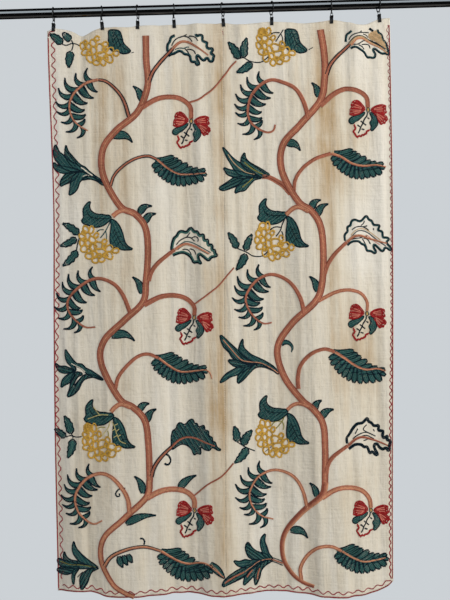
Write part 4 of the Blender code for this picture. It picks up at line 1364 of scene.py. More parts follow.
# Base, tip, width inside the edge rows, bend, shape, fill
SMALL_LEAVES = (
    ((139.6, 214.6), (152.3, 206.3), 5.8, 0.5, HOOKED, PLAIN_FILL),
    ((145.6, 223.6), (156.3, 213.8), 5.8, 0.5, HOOKED, PLAIN_FILL),
    ((139.5, 411.5), (149.6, 403.7), 5.6, 0.45, HOOKED, GREEN_FILL),
    ((147.6, 422.3), (156.6, 409), 6.0, 0.4, HOOKED, PLAIN_FILL),
    ((312, 209.8), (321.2, 200), 5.8, 0.5, HOOKED, PLAIN_FILL),
    ((318, 216.6), (328.6, 204), 6.0, 0.45, HOOKED, PLAIN_FILL),
    ((315.2, 410.6), (322, 400.4), 5.8, 0.45, HOOKED, PLAIN_FILL),
    ((321.4, 418.8), (334, 409.6), 6.2, 0.4, HOOKED, PLAIN_FILL),
    ((141.4, 101.8), (132.8, 86), 5.8, -0.3, HOOKED, PLAIN_FILL),
    ((141.4, 294.2), (132.2, 276.8), 5.8, -0.3, HOOKED, PLAIN_FILL),
    ((142.6, 493.8), (134.2, 476.2), 5.8, -0.3, HOOKED, PLAIN_FILL),
    ((318, 97.6), (311.4, 82.6), 5.8, -0.3, HOOKED, PLAIN_FILL),
    ((316.9, 292.2), (309.2, 276.2), 5.8, -0.3, HOOKED, PLAIN_FILL),
    ((316.2, 497), (309.4, 482.8), 5.0, -0.3, HOOKED, PLAIN_FILL),
    ((113, 137.4), (132.4, 142.8), 7.0, 0.5, HOOKED, PLAIN_FILL),
    ((111, 337), (134.8, 341.2), 7.0, 0.42, HOOKED, PLAIN_FILL),
    ((126, 524.5), (156.2, 515.5), 6.2, 0.2, HOOKED, PLAIN_FILL),
    ((285.2, 143.6), (300.2, 151), 6.6, 0.45, HOOKED, PLAIN_FILL),
    ((290, 531), (307.8, 538.4), 6.4, 0.45, HOOKED, PLAIN_FILL),
    ((179, 489), (196.7, 475.3), 6.0, 0.2, HOOKED, PLAIN_FILL),
    ((119, 556), (123, 568), 5.2, -0.1, POINTED, PLAIN_FILL),
    ((123.5, 555), (127.9, 565.6), 4.8, -0.1, POINTED, PLAIN_FILL),
    ((128, 554), (132.6, 563), 4.8, -0.1, POINTED, PLAIN_FILL),
    ((62, 44), (49.6, 34.2), 7.6, -0.12, TOOTHED, PLAIN_FILL),
    ((71, 40), (62.8, 32.4), 7.2, 0.1, TOOTHED, PLAIN_FILL),
    ((71.3, 51.3), (68.9, 68), 7.6, -0.1, TOOTHED, PLAIN_FILL),
    ((78.8, 234.5), (62.5, 223.4), 7.2, -0.12, TOOTHED, PLAIN_FILL),
    ((76.5, 238), (60, 246), 6.8, 0.12, TOOTHED, PLAIN_FILL),
    ((77, 250.5), (62.5, 266), 7.2, 0.14, TOOTHED, PLAIN_FILL),
    ((70.9, 434), (64.2, 415.7), 7.6, -0.12, TOOTHED, PLAIN_FILL),
    ((65.5, 437.4), (54.4, 428.7), 6.2, -0.06, TOOTHED, PLAIN_FILL),
    ((72.7, 439), (67.5, 458), 7.8, 0.14, TOOTHED, GREEN_FILL),
    ((239.3, 59), (228, 42), 8.0, -0.1, TOOTHED, PLAIN_FILL),
    ((243.9, 57.7), (246.9, 37.7), 7.6, 0.12, TOOTHED, PLAIN_FILL),
    ((251.9, 62.5), (236.3, 72.4), 7.4, 0.14, TOOTHED, PLAIN_FILL),
    ((237, 248.5), (228, 232.4), 7.2, -0.1, TOOTHED, PLAIN_FILL),
    ((245.6, 250.8), (252.2, 234), 6.8, 0.1, TOOTHED, PLAIN_FILL),
    ((245.5, 253.5), (236, 270), 7.4, 0.14, TOOTHED, PLAIN_FILL),
    ((236.8, 441.8), (234, 426), 7.4, -0.14, TOOTHED, PLAIN_FILL),
    ((242.7, 445.2), (252.3, 430), 7.8, 0.12, TOOTHED, PLAIN_FILL),
    ((247.2, 447.6), (234.2, 463), 7.6, 0.16, TOOTHED, GREEN_FILL),
)
# Threads of one row: wool, width, line
TENDRILS = (
    ("navy", 3.6, ((61, 43.5), (66, 45.5), (71.5, 43.5), (75.5, 43.8), (79.8, 45.8))),
    ("navy", 3.4, ((71.3, 40), (73.2, 44.5), (71.5, 51))),
    ("navy", 3.6, ((77.8, 233.5), (79.5, 236.5), (77.5, 244), (76.5, 251))),
    ("navy", 3.4, ((65.5, 437.2), (70.5, 435.5), (75.4, 437), (82, 436.7))),
    ("navy", 3.4, ((71, 433.5), (73, 436.3), (72.6, 440))),
    ("navy", 3.6, ((238.5, 58.8), (243.5, 57.6), (247.5, 60), (252.7, 62), (261.4, 62), (268.6, 56.5))),
    ("navy", 3.6, ((235, 247.5), (241.3, 250), (247.5, 252.7), (251.9, 255.6), (257.5, 256.6), (263.1, 255.6),
                   (267.8, 251.5))),
    ("navy", 3.6, ((236.5, 441.5), (242, 445), (247.5, 448), (255.2, 451))),
    ("navy", 2.4, ((265, 451.6), (268, 449.6), (271.5, 446.3))),
    ("navy", 2.4, ((131.2, 53), (134.2, 52))),
    ("navy", 2.6, ((308.4, 49.9), (313, 47.3))),
    ("teal", 3.4, ((111, 219), (109, 224.5), (106.3, 229.8), (103.5, 234), (100.3, 238.1))),
    ("teal", 3.2, ((96.7, 232.2), (99.7, 229.8), (103.9, 229.8))),
    ("teal", 3.2, ((105.6, 231), (106.6, 235.4), (106.3, 239.9))),
    ("pale_yellow", 3.0, ((110.4, 420), (108.6, 427.1), (105, 432), (101.5, 436.6))),
    ("olive", 3.0, ((96.7, 429.5), (100.3, 427.1), (105.6, 427.7))),
    ("olive", 3.0, ((107.6, 430.4), (108.6, 434), (108, 437.8))),
    ("navy", 3.8, ((285.7, 216.6), (283.8, 221), (282, 225), (280.4, 230.4), (275.8, 236.6))),
    ("navy", 3.6, ((269.8, 230.2), (273.5, 227.4), (277.5, 226.8), (281, 227.6))),
    ("navy", 3.6, ((281.3, 231), (283, 234.2), (282, 238.8))),
    ("olive", 3.2, ((284.5, 416), (282, 421.5), (276, 428.5))),
    ("olive", 3.0, ((282.3, 421.2), (275, 421.6), (271, 426.4))),
    ("olive", 3.0, ((282.3, 421.2), (284, 426), (283, 430))),
    ("ink", 3.4, ((283.6, 29.3), (280.5, 34), (275.5, 41.8))),
    ("ink", 3.2, ((270.6, 34.6), (274, 32.6), (280, 32.8))),
    ("ink", 3.2, ((281, 34), (282.8, 39), (281.6, 44.8))),
    ("navy", 4.4, ((125.5, 488.5), (121, 488), (117.5, 490.5), (115.4, 494), (117.5, 497), (120.2, 495.4),
                   (119, 493.2))),
    ("navy", 5.4, ((143.6, 545), (144.8, 541.4), (142.2, 538.2), (139.6, 539))),
    ("navy", 6.2, ((163, 453.5), (167.2, 454.5), (170.4, 458.6), (170.2, 463), (166.8, 465.2), (164.6, 463))),
    ("madder", 1.8, ((222.4, 30.8), (223, 33), (223.2, 35.4))),
)
LEAF_EDGES = 0.9
# One leaf is bowed too much for a chart of two points, and is worked as a band
BOWED_LEAF = ((281, 343.5), (285, 342), (289.5, 343.3), (292.6, 347.6), (291.2, 352.4))
for base, tip, width, bend, outline, fill in SMALL_LEAVES:
    work_leaf(base, tip, width + LEAF_EDGES, bend, outline, fill)
work_band(BOWED_LEAF, 6.2, 1.0, ("navy", "teal", "leaf_green", "teal", "navy"))
for wool, width, line in TENDRILS:
    work_row(curve(line, 0.9), wool, width)
sew_piece("small_leaves_and_tendrils")


# Berry clusters. Loops of ochre wool, each a small ring with bare cloth inside, hang below one
# horned leaf and one long leaf. At the heading the leaf is cut by the hem.
CLUSTERS = ((79.0, 226.0), (81.6, 424.0), (255.0, 223.0), (255.6, 420.0), (256.0, 28.2), (79.5, 29.0))
RING_YARN = 5.7
# The rings are worked this much larger than they are charted
RING_GROWTH = 1.17
# A berry nearer than this to the top edge, in millimetres, isn't worked
CLEAR_OF_HEADING = 11.0
# The first four hang in full. The last two are cut by the heading
FULL_CLUSTERS = 4
# One berry is worked solid in the second and the fifth. Its place from the corner, half width,
# half height and rows across
SOLID_BERRIES = (1, 4)
SOLID_BERRY = (5.6, 3.8)
BERRY_HALF_WIDTH = 4.2
BERRY_HALF_HEIGHT = 4.6
BERRY_ROWS = np.arange(-3.4, 3.5, 0.95)
# From the cluster's corner to the ring's middle, half width, half height
RINGS = (
    (7.2, 3.2, 2.9, 2.9), (12.6, 3.4, 2.1, 3.4), (3.8, 10.4, 2.5, 3.1), (8.9, 9.9, 2.5, 3.1),
    (3.0, 17.0, 2.6, 2.8), (8.9, 17.2, 2.5, 2.8), (13.6, 14.2, 2.9, 2.9), (13.9, 21.2, 2.8, 3.2),
    (5.5, 23.2, 3.3, 2.7), (20.3, 19.4, 4.1, 3.7), (21.9, 26.2, 3.9, 3.2), (30.3, 22.9, 3.4, 3.2),
    (36.6, 24.4, 2.6, 2.4), (10.6, 29.8, 3.1, 3.3), (17.0, 33.8, 2.8, 2.8), (23.2, 33.2, 2.8, 2.9),
    (30.0, 29.9, 3.5, 3.1), (15.4, 28.0, 2.2, 3.0), (25.8, 15.6, 2.3, 2.4), (17.2, 9.5, 1.9, 2.4),
    (25.4, 20.8, 2.2, 2.2), (9.8, 24.6, 2.2, 2.2), (5.8, 13.6, 2.0, 2.0), (26.4, 29.4, 2.0, 2.4),
    (20.4, 30.4, 1.9, 2.2), (4.8, 6.8, 2.0, 1.9),
)
HORNED_LEAF = (
    (32.5, -7.6), (29.9, -11.1), (27.1, -10.6), (24, -11.6), (20, -11.6), (16.4, -12.4), (13.3, -14.2),
    (11.3, -16.7), (10.5, -20.3), (11.8, -24.6), (8.5, -23.1), (6.4, -20.6), (4.4, -17.8), (4.1, -14.7),
    (4.3, -10.9), (4.7, -7.8), (2.6, -6.4), (3.4, -3.2), (5.9, -1.7), (9.8, -0.7), (13.3, 0.7), (17.4, 1.3),
    (22.5, 0.4), (26.3, -1.7), (29.7, -4.5),
)
LONG_LEAF = (
    (31.4, -6.8), (32.3, -1.6), (31.6, 4.6), (31, 13), (31.8, 19.2), (33.9, 22.4), (36.2, 20.8), (39.4, 22.2),
    (43.6, 24), (49.3, 23.9), (54, 23.2), (48.9, 20), (45.7, 15.2), (43.9, 8), (41, 0.8), (36.8, -4.8),
)
HEM_CUT_LEAF = (
    (29.8, 1.2), (39.4, 1.8), (42.5, 8.2), (44.2, 14.5), (51.2, 21.9), (47.5, 24.4), (43.8, 24.8),
    (40.4, 23.6), (37.1, 21.5), (33.8, 22.3), (30.5, 19.8), (29.2, 14.5), (29.2, 6.2),
)
# Dark veins: those of the horned leaf, then those of the long one
HORNED_VEINS = 4
CLUSTER_VEINS = (
    ((31, -7.6), (24, -7.4), (16, -7.6), (10, -10.6), (7.6, -16)),
    ((9.2, -12.1), (12, -8.5), (14.9, -5.5)),
    ((15.9, -9.6), (18.7, -6)),
    ((25.1, -7), (20.5, -4.2)),
    ((34.9, 3), (36.6, 6.4), (39, 11.6), (42.5, 17.5), (50, 22.8)),
    ((36, 3.4), (33.2, 8)),
    ((37.2, 7.4), (33, 12.8)),
    ((38.8, 11.4), (34, 17.6)),
    ((41.2, 15.6), (37.6, 20)),
    ((37, 6.4), (41, 5.6)),
    ((38.8, 10.6), (43, 10.4)),
    ((41, 15), (45.6, 15.4)),
)
# The second cluster's leaves have pale veins too
PALE_VEIN_CLUSTER = 1
PALE_VEINS = (
    ((27, -9), (18, -9), (6, -5)), ((18, -9), (12, -17)),
    ((30.5, -2.8), (33.5, 4.3), (35.3, 10.2), (38.8, 17.3), (44.8, 19.7)), ((32.9, 1.3), (36.5, -0.4)),
    ((33.5, 4.9), (30.5, 6.7)), ((34.7, 7.3), (37.6, 4.9)), ((35.3, 11.4), (31.7, 13.8)),
    ((35.9, 12.6), (39.4, 10.8)),
)
LEAF_FILL = ("teal", "leaf_green", "teal")


def work_ring(middle, half_width, half_height, phase):
    """One berry: an uneven loop of yarn, left out where it would cross the heading."""
    turn = np.linspace(0.0, 2.0 * math.pi, 19)[:, None]
    uneven = RING_GROWTH + 0.18 * np.sin(2.0 * turn + chance.uniform(0, 6))
    uneven += 0.11 * np.sin(3.0 * turn + phase)
    loop = middle + np.hstack([np.cos(turn) * half_width, np.sin(turn) * half_height]) * uneven
    place = on_cloth(loop)
    if np.all(smooth_lookup(TOP_EDGE, place[:, 0], 1) - place[:, 1] > CLEAR_OF_HEADING):
        work_row(loop, "ochre", RING_YARN, stitch=4.2, rise=1.5, lift=chance.uniform(0.0, 0.4))


def work_solid_berry(middle):
    """One berry filled with upright rows."""
    for step in BERRY_ROWS:
        reach = BERRY_HALF_HEIGHT * math.sqrt(max(0.0, 1.0 - (step / BERRY_HALF_WIDTH) ** 2))
        work_row(np.array([middle + (step, -reach), middle + (step, reach)]), "ochre")


for k, corner in enumerate(CLUSTERS):
    corner = np.array(corner)
    for ring_x, ring_y, half_width, half_height in RINGS:
        middle = corner + (ring_x, ring_y) + chance.uniform(-0.5, 0.5, 2)
        work_ring(middle, half_width, half_height, ring_x)
    if k in SOLID_BERRIES:
        work_solid_berry(corner + SOLID_BERRY)
    if k < FULL_CLUSTERS:
        work_shape(corner + HORNED_LEAF, -38.0, LEAF_FILL, "navy")
        work_shape(corner + LONG_LEAF, 66.0, LEAF_FILL, "navy")
    else:
        work_shape(corner + HEM_CUT_LEAF, 72.0, LEAF_FILL, "navy")
    for vein in CLUSTER_VEINS[0 if k < FULL_CLUSTERS else HORNED_VEINS:]:
        work_row(curve(corner + vein, 0.9), "ink", 2.4, lift=0.8)
for vein in PALE_VEINS:
    work_row(curve(np.array(CLUSTERS[PALE_VEIN_CLUSTER]) + vein), "pale_yellow", 2.6, lift=1.2)
sew_piece("berry_clusters")


# Hanging flowers. Crimson petals streaked with pink fan out to both sides over two teal lobes;
# between them the cloth is left white, with an ink fork and a saw-edged line.
# Middle of the knot, size
FLOWERS = ((191.2, 121.2, 1.0), (194.2, 317.6, 1.0), (194.6, 510.4, 1.0), (368.0, 109.8, 1.02),
           (367.0, 313.6, 1.0), (370.8, 510.0, 0.98))
LEFT_PETAL = (
    (-2.7, -0.9), (-6, -5.6), (-8.6, -8.4), (-11.6, -9.2), (-14.8, -7.8), (-16.3, -4.6), (-15.6, -2.6),
    (-17.6, -0.3), (-16.9, 1.9), (-17.8, 4.4), (-13.3, 5.6), (-9, 4.2), (-4, 0.9),
)
UPPER_PETAL = (
    (2.7, 0), (6, -2.9), (9.3, -4.3), (13.3, -5), (16.7, -4.1), (17.3, -1.3), (16.4, 0.3), (18, 2.2),
    (15.3, 3.9), (9.3, 2.9), (4.3, 1.7),
)
LOWER_PETAL = (
    (4.3, 1.7), (8, 3.2), (12.6, 3.2), (16.6, 5.2), (19.2, 9.3), (17.1, 11.1), (16.4, 13.4), (14.4, 12.8),
    (12.3, 14.5), (9.9, 10), (7.2, 5.7),
)
LEFT_LOBE = (
    (-4, 2), (-7.3, 4.4), (-12.3, 6), (-16.3, 7.3), (-18.9, 10.3), (-17.6, 13.4), (-14.3, 13.7),
    (-12.6, 11.4), (-10, 10.7), (-7.6, 8.4), (-4.6, 5.7), (-2.7, 2.7),
)
RIGHT_LOBE = (
    (2, 2.4), (6, 4), (8.6, 8), (9.6, 12), (9, 15.3), (6, 19), (3.6, 21), (2.3, 19), (3.6, 16.4), (2, 14.2),
    (2, 11.6), (4, 9.7), (3.3, 6.7), (1.7, 3.6),
)
FORK = (
    ((-0.7, 2.4), (-1, 6), (-3.7, 9.3), (-5, 13.3), (-7.3, 17.3), (-8.3, 20.9), (-10, 23)),
    ((-0.7, 7.3), (1.3, 9.3)),
    ((-7.3, 10.7), (-4.6, 13), (-1.7, 15.3)),
    ((-10.6, 14.6), (-7.6, 17)),
    ((-6.6, 18.6), (-3.3, 19.6)),
)
SAW_LINE = (
    (-13.9, 14.6), (-12.3, 18.3), (-14.3, 20.9), (-12.9, 23.6), (-10.6, 26.9), (-9, 25.5), (-7.3, 26.3),
    (-5.6, 24.5), (-4, 25), (-2.6, 23.2), (-1.3, 23.6), (-1.3, 21.3), (1.7, 19.9),
)
PETAL_STREAKS = (
    ((-6.2, -1.9), (-9.6, -3.9), (-13.4, -5)),
    ((-6.2, -1.1), (-10.6, -2.3), (-14.8, -2.9)),
    ((-6.6, 0.7), (-11, 0.6), (-15.8, 0.2)),
    ((-6.8, 1.5), (-11, 2), (-15.6, 2.3)),
    ((-8, 2.4), (-11.4, 3.6), (-14, 4)),
    ((5.5, -0.6), (9.5, -2), (14, -2.8)),
    ((6, 0.2), (10, -0.5), (14.6, -0.8)),
    ((8, 1.3), (11.6, 1.2), (14.6, 1.4)),
    ((8, 3.8), (12, 5.6), (15.6, 8.2)),
    ((8.4, 4.8), (11.6, 7.6), (14.2, 10.8)),
    ((8.8, 6.4), (11, 9.2), (12.6, 11.8)),
)
KNOT = ((0, -2.6), (1.5, -0.8), (1.7, 1), (0, 2.6), (-1.7, 1), (-1.5, -0.8))
SAW_PITCH = 2.2
SAW_DEPTH = 0.85


def notched(outline, pitch, depth):
    """An outline whose far side, away from the flower's middle, is cut into small lobes."""
    ring = closed_curve(outline, 0.5)
    swing = np.abs(np.sin(math.pi * lengths_along(ring) / pitch)) - 0.5
    far = ease((np.linalg.norm(ring, axis=1) - 9.0) / 6.0)
    away = ring / (np.linalg.norm(ring, axis=1, keepdims=True) + 1e-6)
    return (ring + away * (swing * far * depth)[:, None])[:-1]


def on_flower(points, flower):
    """Points round the knot, set at a flower's own place and size."""
    return np.array(points, float) * flower[2] + flower[:2]


for flower in FLOWERS:
    for outline, angle in ((LEFT_PETAL, 14.0), (UPPER_PETAL, -8.0), (LOWER_PETAL, 38.0)):
        work_shape(on_flower(notched(outline, 3.6, 1.5), flower), angle, ("crimson",), "crimson", 3.6)
    for streak in PETAL_STREAKS:
        work_row(curve(on_flower(streak, flower)), "pink", 2.5, lift=1.0)
    for outline, angle in ((LEFT_LOBE, -24.0), (RIGHT_LOBE, 82.0)):
        work_shape(on_flower(outline, flower), angle, ("teal", "leaf_green"), "navy", 3.6)
    for line in FORK:
        work_row(curve(on_flower(line, flower), 0.9), "ink", 4.4)
    saw = curve(SAW_LINE, 0.6)
    bead = (SAW_DEPTH * np.sin(2.0 * math.pi * lengths_along(saw) / SAW_PITCH))[:, None]
    aside = left_of(saw)
    work_row(on_flower(saw + aside * bead, flower), "crimson", 5.6, stitch=2.6, rise=1.5)
    work_row(on_flower(saw - aside * (bead * 0.8 - 0.3), flower), "crimson", 3.8, stitch=2.6)
    work_row(on_flower(((0, -1.6), (0, 1.6)), flower), "ochre", 4.4, rise=1.6)
    work_row(closed_curve(on_flower(KNOT, flower), 0.6), "navy", 2.8, stitch=3.0, rise=1.5)
sew_piece("flowers")


# Border. One straight row of madder wool follows the left, bottom and right edges, and a
# zigzag row runs inside it. On the right the two touch, and the zigzag thickens downwards.
EDGE_INSET = 2.8
EDGE_ROW = 3.4
RIGHT_EDGE_ROW = 3.0
WAVE_YARN = 3.8
RIGHT_WAVE_YARNS = (2.4, 4.4)
# Length of one turn of the zigzag and its height
LEFT_TURN = (30.2, 7.4)
RIGHT_TURN = (20.6, 4.8)
FOOT_TURN = (29.0, 6.2)
FOOT_WAVE_INSET = 15.0
# The left zigzag is cut short of the foot's, after this many points
LEFT_WAVE_END = 885
# The short row that turns the left edge round the corner of the heading
CORNER_ROW = ((48.4, 37), (48.8, 33.6), (50.4, 31.4), (53, 31.8), (55.4, 30.4))
# The zigzag passes under the leaves that reach it
WAVE_LIFT = -0.5
# Share of the drop, inset of the zigzag's middle
LEFT_WAVE = (
    (0.0, 17.0), (0.2, 15.0), (0.42, 13.0), (0.54, 10.5), (0.63, 8.0), (0.69, 9.5), (0.77, 14.0),
    (1.0, 15.0),
)
RIGHT_WAVE = ((0.0, 8.5), (0.1, 6.0), (0.5, 6.0), (0.62, 8.0), (0.8, 9.5), (1.0, 9.5))
# Shares of the drop that the side rows are drawn through, from the heading almost to the foot
SIDE_DROPS = np.linspace(0.012, 0.9965, 900)
# How far a zigzag strays from even, in shares of a turn and of its height, and how slowly
TURN_STRAY = 0.12
TURN_STRAY_LENGTH = 97.0
HEIGHT_STRAY = 0.15
HEIGHT_STRAY_LENGTH = 53.0
# At 1 the zigzag's points would be sharp
SHARPNESS = 0.97


def edge_line(side, inset):
    """A line down one side of the cloth at one or more insets from its edge, in millimetres."""
    share, inward = (0.0, 1.0) if side == "left" else (1.0, -1.0)
    x, z, _ = cloth_places(side, np.full_like(SIDE_DROPS, share), SIDE_DROPS)
    return np.stack([x + inset * inward, z], axis=1)


def foot_line(inset, first=0.006, last=0.994):
    """A line along the foot of the cloth at an inset from its edge, in millimetres."""
    parts = []
    for side, shares in (("left", np.linspace(first, 1.0, 320)), ("right", np.linspace(0.0, last, 320)[1:])):
        x, z, _ = cloth_places(side, shares, np.full_like(shares, 1.0))
        parts.append(np.stack([x, z + inset], axis=1))
    return np.concatenate(parts)


def waved(line, length, height):
    """The same line thrown from side to side, in rounded points."""
    reach = lengths_along(line)
    places = np.arange(0.0, reach[-1], 2.0)
    line = np.stack([np.interp(places, reach, line[:, k]) for k in (0, 1)], axis=1)
    way = np.gradient(line, axis=0)
    way /= np.linalg.norm(way, axis=1, keepdims=True)
    aside = np.stack([-way[:, 1], way[:, 0]], axis=1)
    turns = places / length + TURN_STRAY * np.sin(places / TURN_STRAY_LENGTH)
    swing = 2.0 / math.pi * np.arcsin(np.sin(2.0 * math.pi * turns) * SHARPNESS)
    strength = 1.0 + HEIGHT_STRAY * np.sin(places / HEIGHT_STRAY_LENGTH)
    return line + aside * (swing * height * strength)[:, None]


work_cloth_row(edge_line("left", EDGE_INSET), "madder", EDGE_ROW)
work_cloth_row(edge_line("right", EDGE_INSET), "madder", RIGHT_EDGE_ROW)
work_cloth_row(foot_line(EDGE_INSET), "madder", EDGE_ROW)
work_row(curve(CORNER_ROW), "madder", 3.2)
left_wave = edge_line("left", smooth_lookup(LEFT_WAVE, SIDE_DROPS, 1))[:LEFT_WAVE_END]
work_cloth_row(waved(left_wave, *LEFT_TURN), "madder", WAVE_YARN, lift=WAVE_LIFT)
right_wave = waved(edge_line("right", smooth_lookup(RIGHT_WAVE, SIDE_DROPS, 1)), *RIGHT_TURN)
right_yarn = np.linspace(*RIGHT_WAVE_YARNS, len(right_wave))
work_cloth_row(right_wave, "madder", right_yarn, lift=WAVE_LIFT)
foot_wave = waved(foot_line(FOOT_WAVE_INSET, 0.03, 0.98), *FOOT_TURN)
work_cloth_row(foot_wave, "madder", WAVE_YARN, lift=WAVE_LIFT)
sew_piece("border")


# Heading hem and the joining seam. The heading is folded over and held by one row of small
# stitches; cream thread whips the two selvedges together.
# Length of a hem stitch, gap to the next, thread, rise, and how far above the hem's foot it is
HEM_STITCH = (3.4, 2.6, 1.5, 0.7)
HEM_ROW_UP = 2.0
# Half the length of a whipping stitch across and up, thread, rise
WHIP_ACROSS = 2.2
WHIP_UP = 1.0
WHIP_THREAD = 1.3
WHIP_RISE = 0.8


def work_dashes(line, stitch, gap, width, rise):
    """A running row of separate stitches along a line of the cloth."""
    reach = lengths_along(line)
    for start in np.arange(1.0, reach[-1] - stitch, stitch + gap):
        spots = np.array((start, start + stitch)) + chance.uniform(-0.4, 0.4, 2)
        dash = np.stack([np.interp(spots, reach, line[:, k]) for k in (0, 1)], axis=1)
        work_cloth_row(dash, "white", width, stitch=stitch, rise=rise)


for side in ("left", "right"):
    shares = np.linspace(0.004, 0.996, 300)
    x, z, _ = cloth_places(side, shares, np.zeros_like(shares))
    work_dashes(np.stack([x, z - HEM_DEPTH + HEM_ROW_UP], axis=1), *HEM_STITCH)
drops = np.linspace(0.004, 0.996, 330)
x, z, _ = cloth_places("right", np.zeros_like(drops), drops)
for place in np.stack([x, z], axis=1):
    whip = np.array((place - (WHIP_ACROSS, WHIP_UP), place + (WHIP_ACROSS, WHIP_UP)))
    work_cloth_row(whip, "white", WHIP_THREAD, stitch=5.0, rise=WHIP_RISE)
sew_piece("hem_and_seam_stitches")


# Rod, rings and clips. Black lacquer on steel: glossy on the rod, thinner on the wire of the
# rings and bails, satin on the jaws, and rubbed to grey in small patches.
BLACK = (9, 9, 10)
RUBBED_GREY = (92, 88, 84)
# Slot: how rough, how worn, how much it mirrors, how much clear coat, how uneven, how its nodes'
# names begin
HARDWARE = {
    "rod_black": (0.06, 0.03, 0.5, 1.0, 0.04, ("rod",)),
    "ring_black": (0.42, 0.15, 0.2, 0.0, 0.25, ("ring_", "bail_")),
    "clip_black": (0.5, 0.12, 0.15, 0.0, 0.25, ("jaw_",)),
}


def worn_lacquer():
    """Lacquer rubbed in patches: a colour, a roughness and a height."""
    group, given, out = new_group(
        "worn_lacquer",
        [("Lacquer", "NodeSocketColor", (0.01, 0.01, 0.01, 1.0)),
         ("Gloss Roughness", "NodeSocketFloat", 0.25), ("Wear", "NodeSocketFloat", 0.3)],
        [("Color", "NodeSocketColor"), ("Roughness", "NodeSocketFloat"), ("Height", "NodeSocketFloat")],
    )
    place = node(group, "ShaderNodeTexCoord").outputs["Object"]
    patches = noise(group, place, Scale=90.0, Detail=5.0, Roughness=0.65)
    dust = noise(group, place, Scale=700.0, Detail=2.0)
    rubbed = node(group, "ShaderNodeMapRange", Value=patches, From_Min=0.58, From_Max=0.75)
    amount = maths(group, "MULTIPLY", rubbed.outputs[0], given.outputs["Wear"])
    colour = mix_colours(group, amount, given.outputs["Lacquer"], linear(*RUBBED_GREY))
    give(group, out.inputs["Color"], colour)
    rough = maths(group, "ADD", given.outputs["Gloss Roughness"], maths(group, "MULTIPLY", amount, 0.35))
    give(group, out.inputs["Roughness"], maths(group, "ADD", rough, maths(group, "MULTIPLY", dust, 0.04)))
    give(group, out.inputs["Height"], maths(group, "ADD", dust, maths(group, "MULTIPLY", patches, 2.0)))
    return group


lacquer_group = worn_lacquer()
for slot_name, (roughness, wear, mirroring, clear_coat, unevenness, starts) in HARDWARE.items():
    material, tree, shader = new_material(f"{slot_name}_lacquer", roughness)
    coat = node(tree, "ShaderNodeGroup", node_tree=lacquer_group)
    coat.inputs["Lacquer"].default_value = linear(*BLACK)
    coat.inputs["Gloss Roughness"].default_value = roughness
    coat.inputs["Wear"].default_value = wear
    give(tree, shader.inputs["Base Color"], coat.outputs["Color"])
    give(tree, shader.inputs["Roughness"], coat.outputs["Roughness"])
    shader.inputs["Specular IOR Level"].default_value = mirroring
    shader.inputs["Coat Weight"].default_value = clear_coat
    shader.inputs["Coat Roughness"].default_value = roughness
    add_bump(tree, shader, coat.outputs["Height"], unevenness, 0.0002)
    for piece in bpy.data.objects:
        if "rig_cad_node" in piece and piece.name.startswith(starts):
            for holder in piece.material_slots:
                holder.material = material


# The stage. A plain pale floor below the foot of the cloth, pale air behind, a broad soft light
# from the front right and a long weak one above. The lacquer alone mirrors a dark room.
FLOOR_Z = -2500.0
FLOOR_RADIUS = 1500.0
FLOOR_GREY = (204, 203, 200)
AIR = (204, 209, 213)
AIR_GLOW = (250, 250, 250)
AIR_LIGHT = 0.44
# One long soft box in front and above. Height of the direction, from level at 0 to straight up
# at 1, and how bright the room is there
SOFT_BOX = ((0.0, 0.003), (0.04, 1.0), (0.54, 1.0), (0.64, 0.003))
SOFT_BOX_TINT = (0.82, 0.93, 1.0)
SOFT_BOX_LIGHT = 4.6
# Name, place, aim, size, power, tint
SOFT_LIGHTS = (
    ("main_light", (2900.0, -2300.0, -200.0), (0.0, 0.0, -860.0), (1500.0, 1500.0), 72.0,
     (255, 250, 240)),
    ("upper_light", (-200.0, -1500.0, 1300.0), (0.0, 0.0, -300.0), (2600.0, 260.0), 9.0,
     (250, 252, 255)),
)


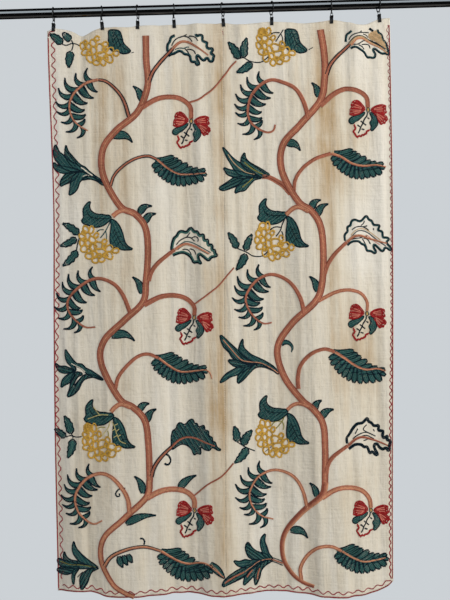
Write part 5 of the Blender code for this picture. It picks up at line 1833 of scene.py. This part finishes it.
def make_floor():
    """A round floor for the stage."""
    material, _, shader = new_material("pale_floor", 0.9)
    shader.inputs["Base Color"].default_value = linear(*FLOOR_GREY)
    bpy.ops.mesh.primitive_circle_add(vertices=96, radius=FLOOR_RADIUS * MM, fill_type="NGON",
                                      location=(0.0, 0.0, FLOOR_Z * MM))
    floor = bpy.context.object
    floor.name = "floor"
    floor.data.materials.append(material)


def make_air():
    """The world: pale air to the camera, soft light to the cloth, a soft box to mirror rays."""
    world = bpy.data.worlds.new("air")
    world.use_nodes = True
    tree = world.node_tree
    seen = tree.nodes["Background"]
    seen.inputs["Color"].default_value = linear(*AIR)
    lighting = node(tree, "ShaderNodeBackground", Color=linear(*AIR_GLOW), Strength=AIR_LIGHT)
    way = node(tree, "ShaderNodeTexCoord").outputs["Generated"]
    parts = node(tree, "ShaderNodeSeparateXYZ", Vector=way)
    room = [(share, [part * brightness for part in SOFT_BOX_TINT] + [1.0]) for share, brightness in SOFT_BOX]
    in_front = node(tree, "ShaderNodeMapRange", Value=parts.outputs[1], From_Min=0.0, From_Max=-0.3,
                    To_Max=SOFT_BOX_LIGHT)
    mirrored = node(tree, "ShaderNodeBackground", Color=colour_ramp(tree, parts.outputs[2], room),
                    Strength=in_front.outputs[0])
    path = node(tree, "ShaderNodeLightPath")
    unseen = numbered_node(tree, "ShaderNodeMixShader", {
        0: path.outputs["Is Glossy Ray"], 1: lighting.outputs[0], 2: mirrored.outputs[0]})
    either = numbered_node(tree, "ShaderNodeMixShader", {
        0: path.outputs["Is Camera Ray"], 1: unseen.outputs[0], 2: seen.outputs[0]})
    give(tree, tree.nodes["World Output"].inputs[0], either.outputs[0])
    bpy.context.scene.world = world


def add_soft_light(name, place, aim, size, power, tint):
    """An oblong area light turned towards a point, its power in watts."""
    data = bpy.data.lights.new(name, "AREA")
    data.shape = "RECTANGLE"
    data.size, data.size_y = size[0] * MM, size[1] * MM
    data.energy = power
    data.color = linear(*tint)[:3]
    light = bpy.data.objects.new(name, data)
    bpy.context.scene.collection.objects.link(light)
    light.location = [c * MM for c in place]
    way = [a - p for a, p in zip(aim, place)]
    light.rotation_mode = "QUATERNION"
    light.rotation_quaternion = Vector(way).to_track_quat("-Z", "Y")


make_floor()
make_air()
for light in SOFT_LIGHTS:
    add_soft_light(*light)
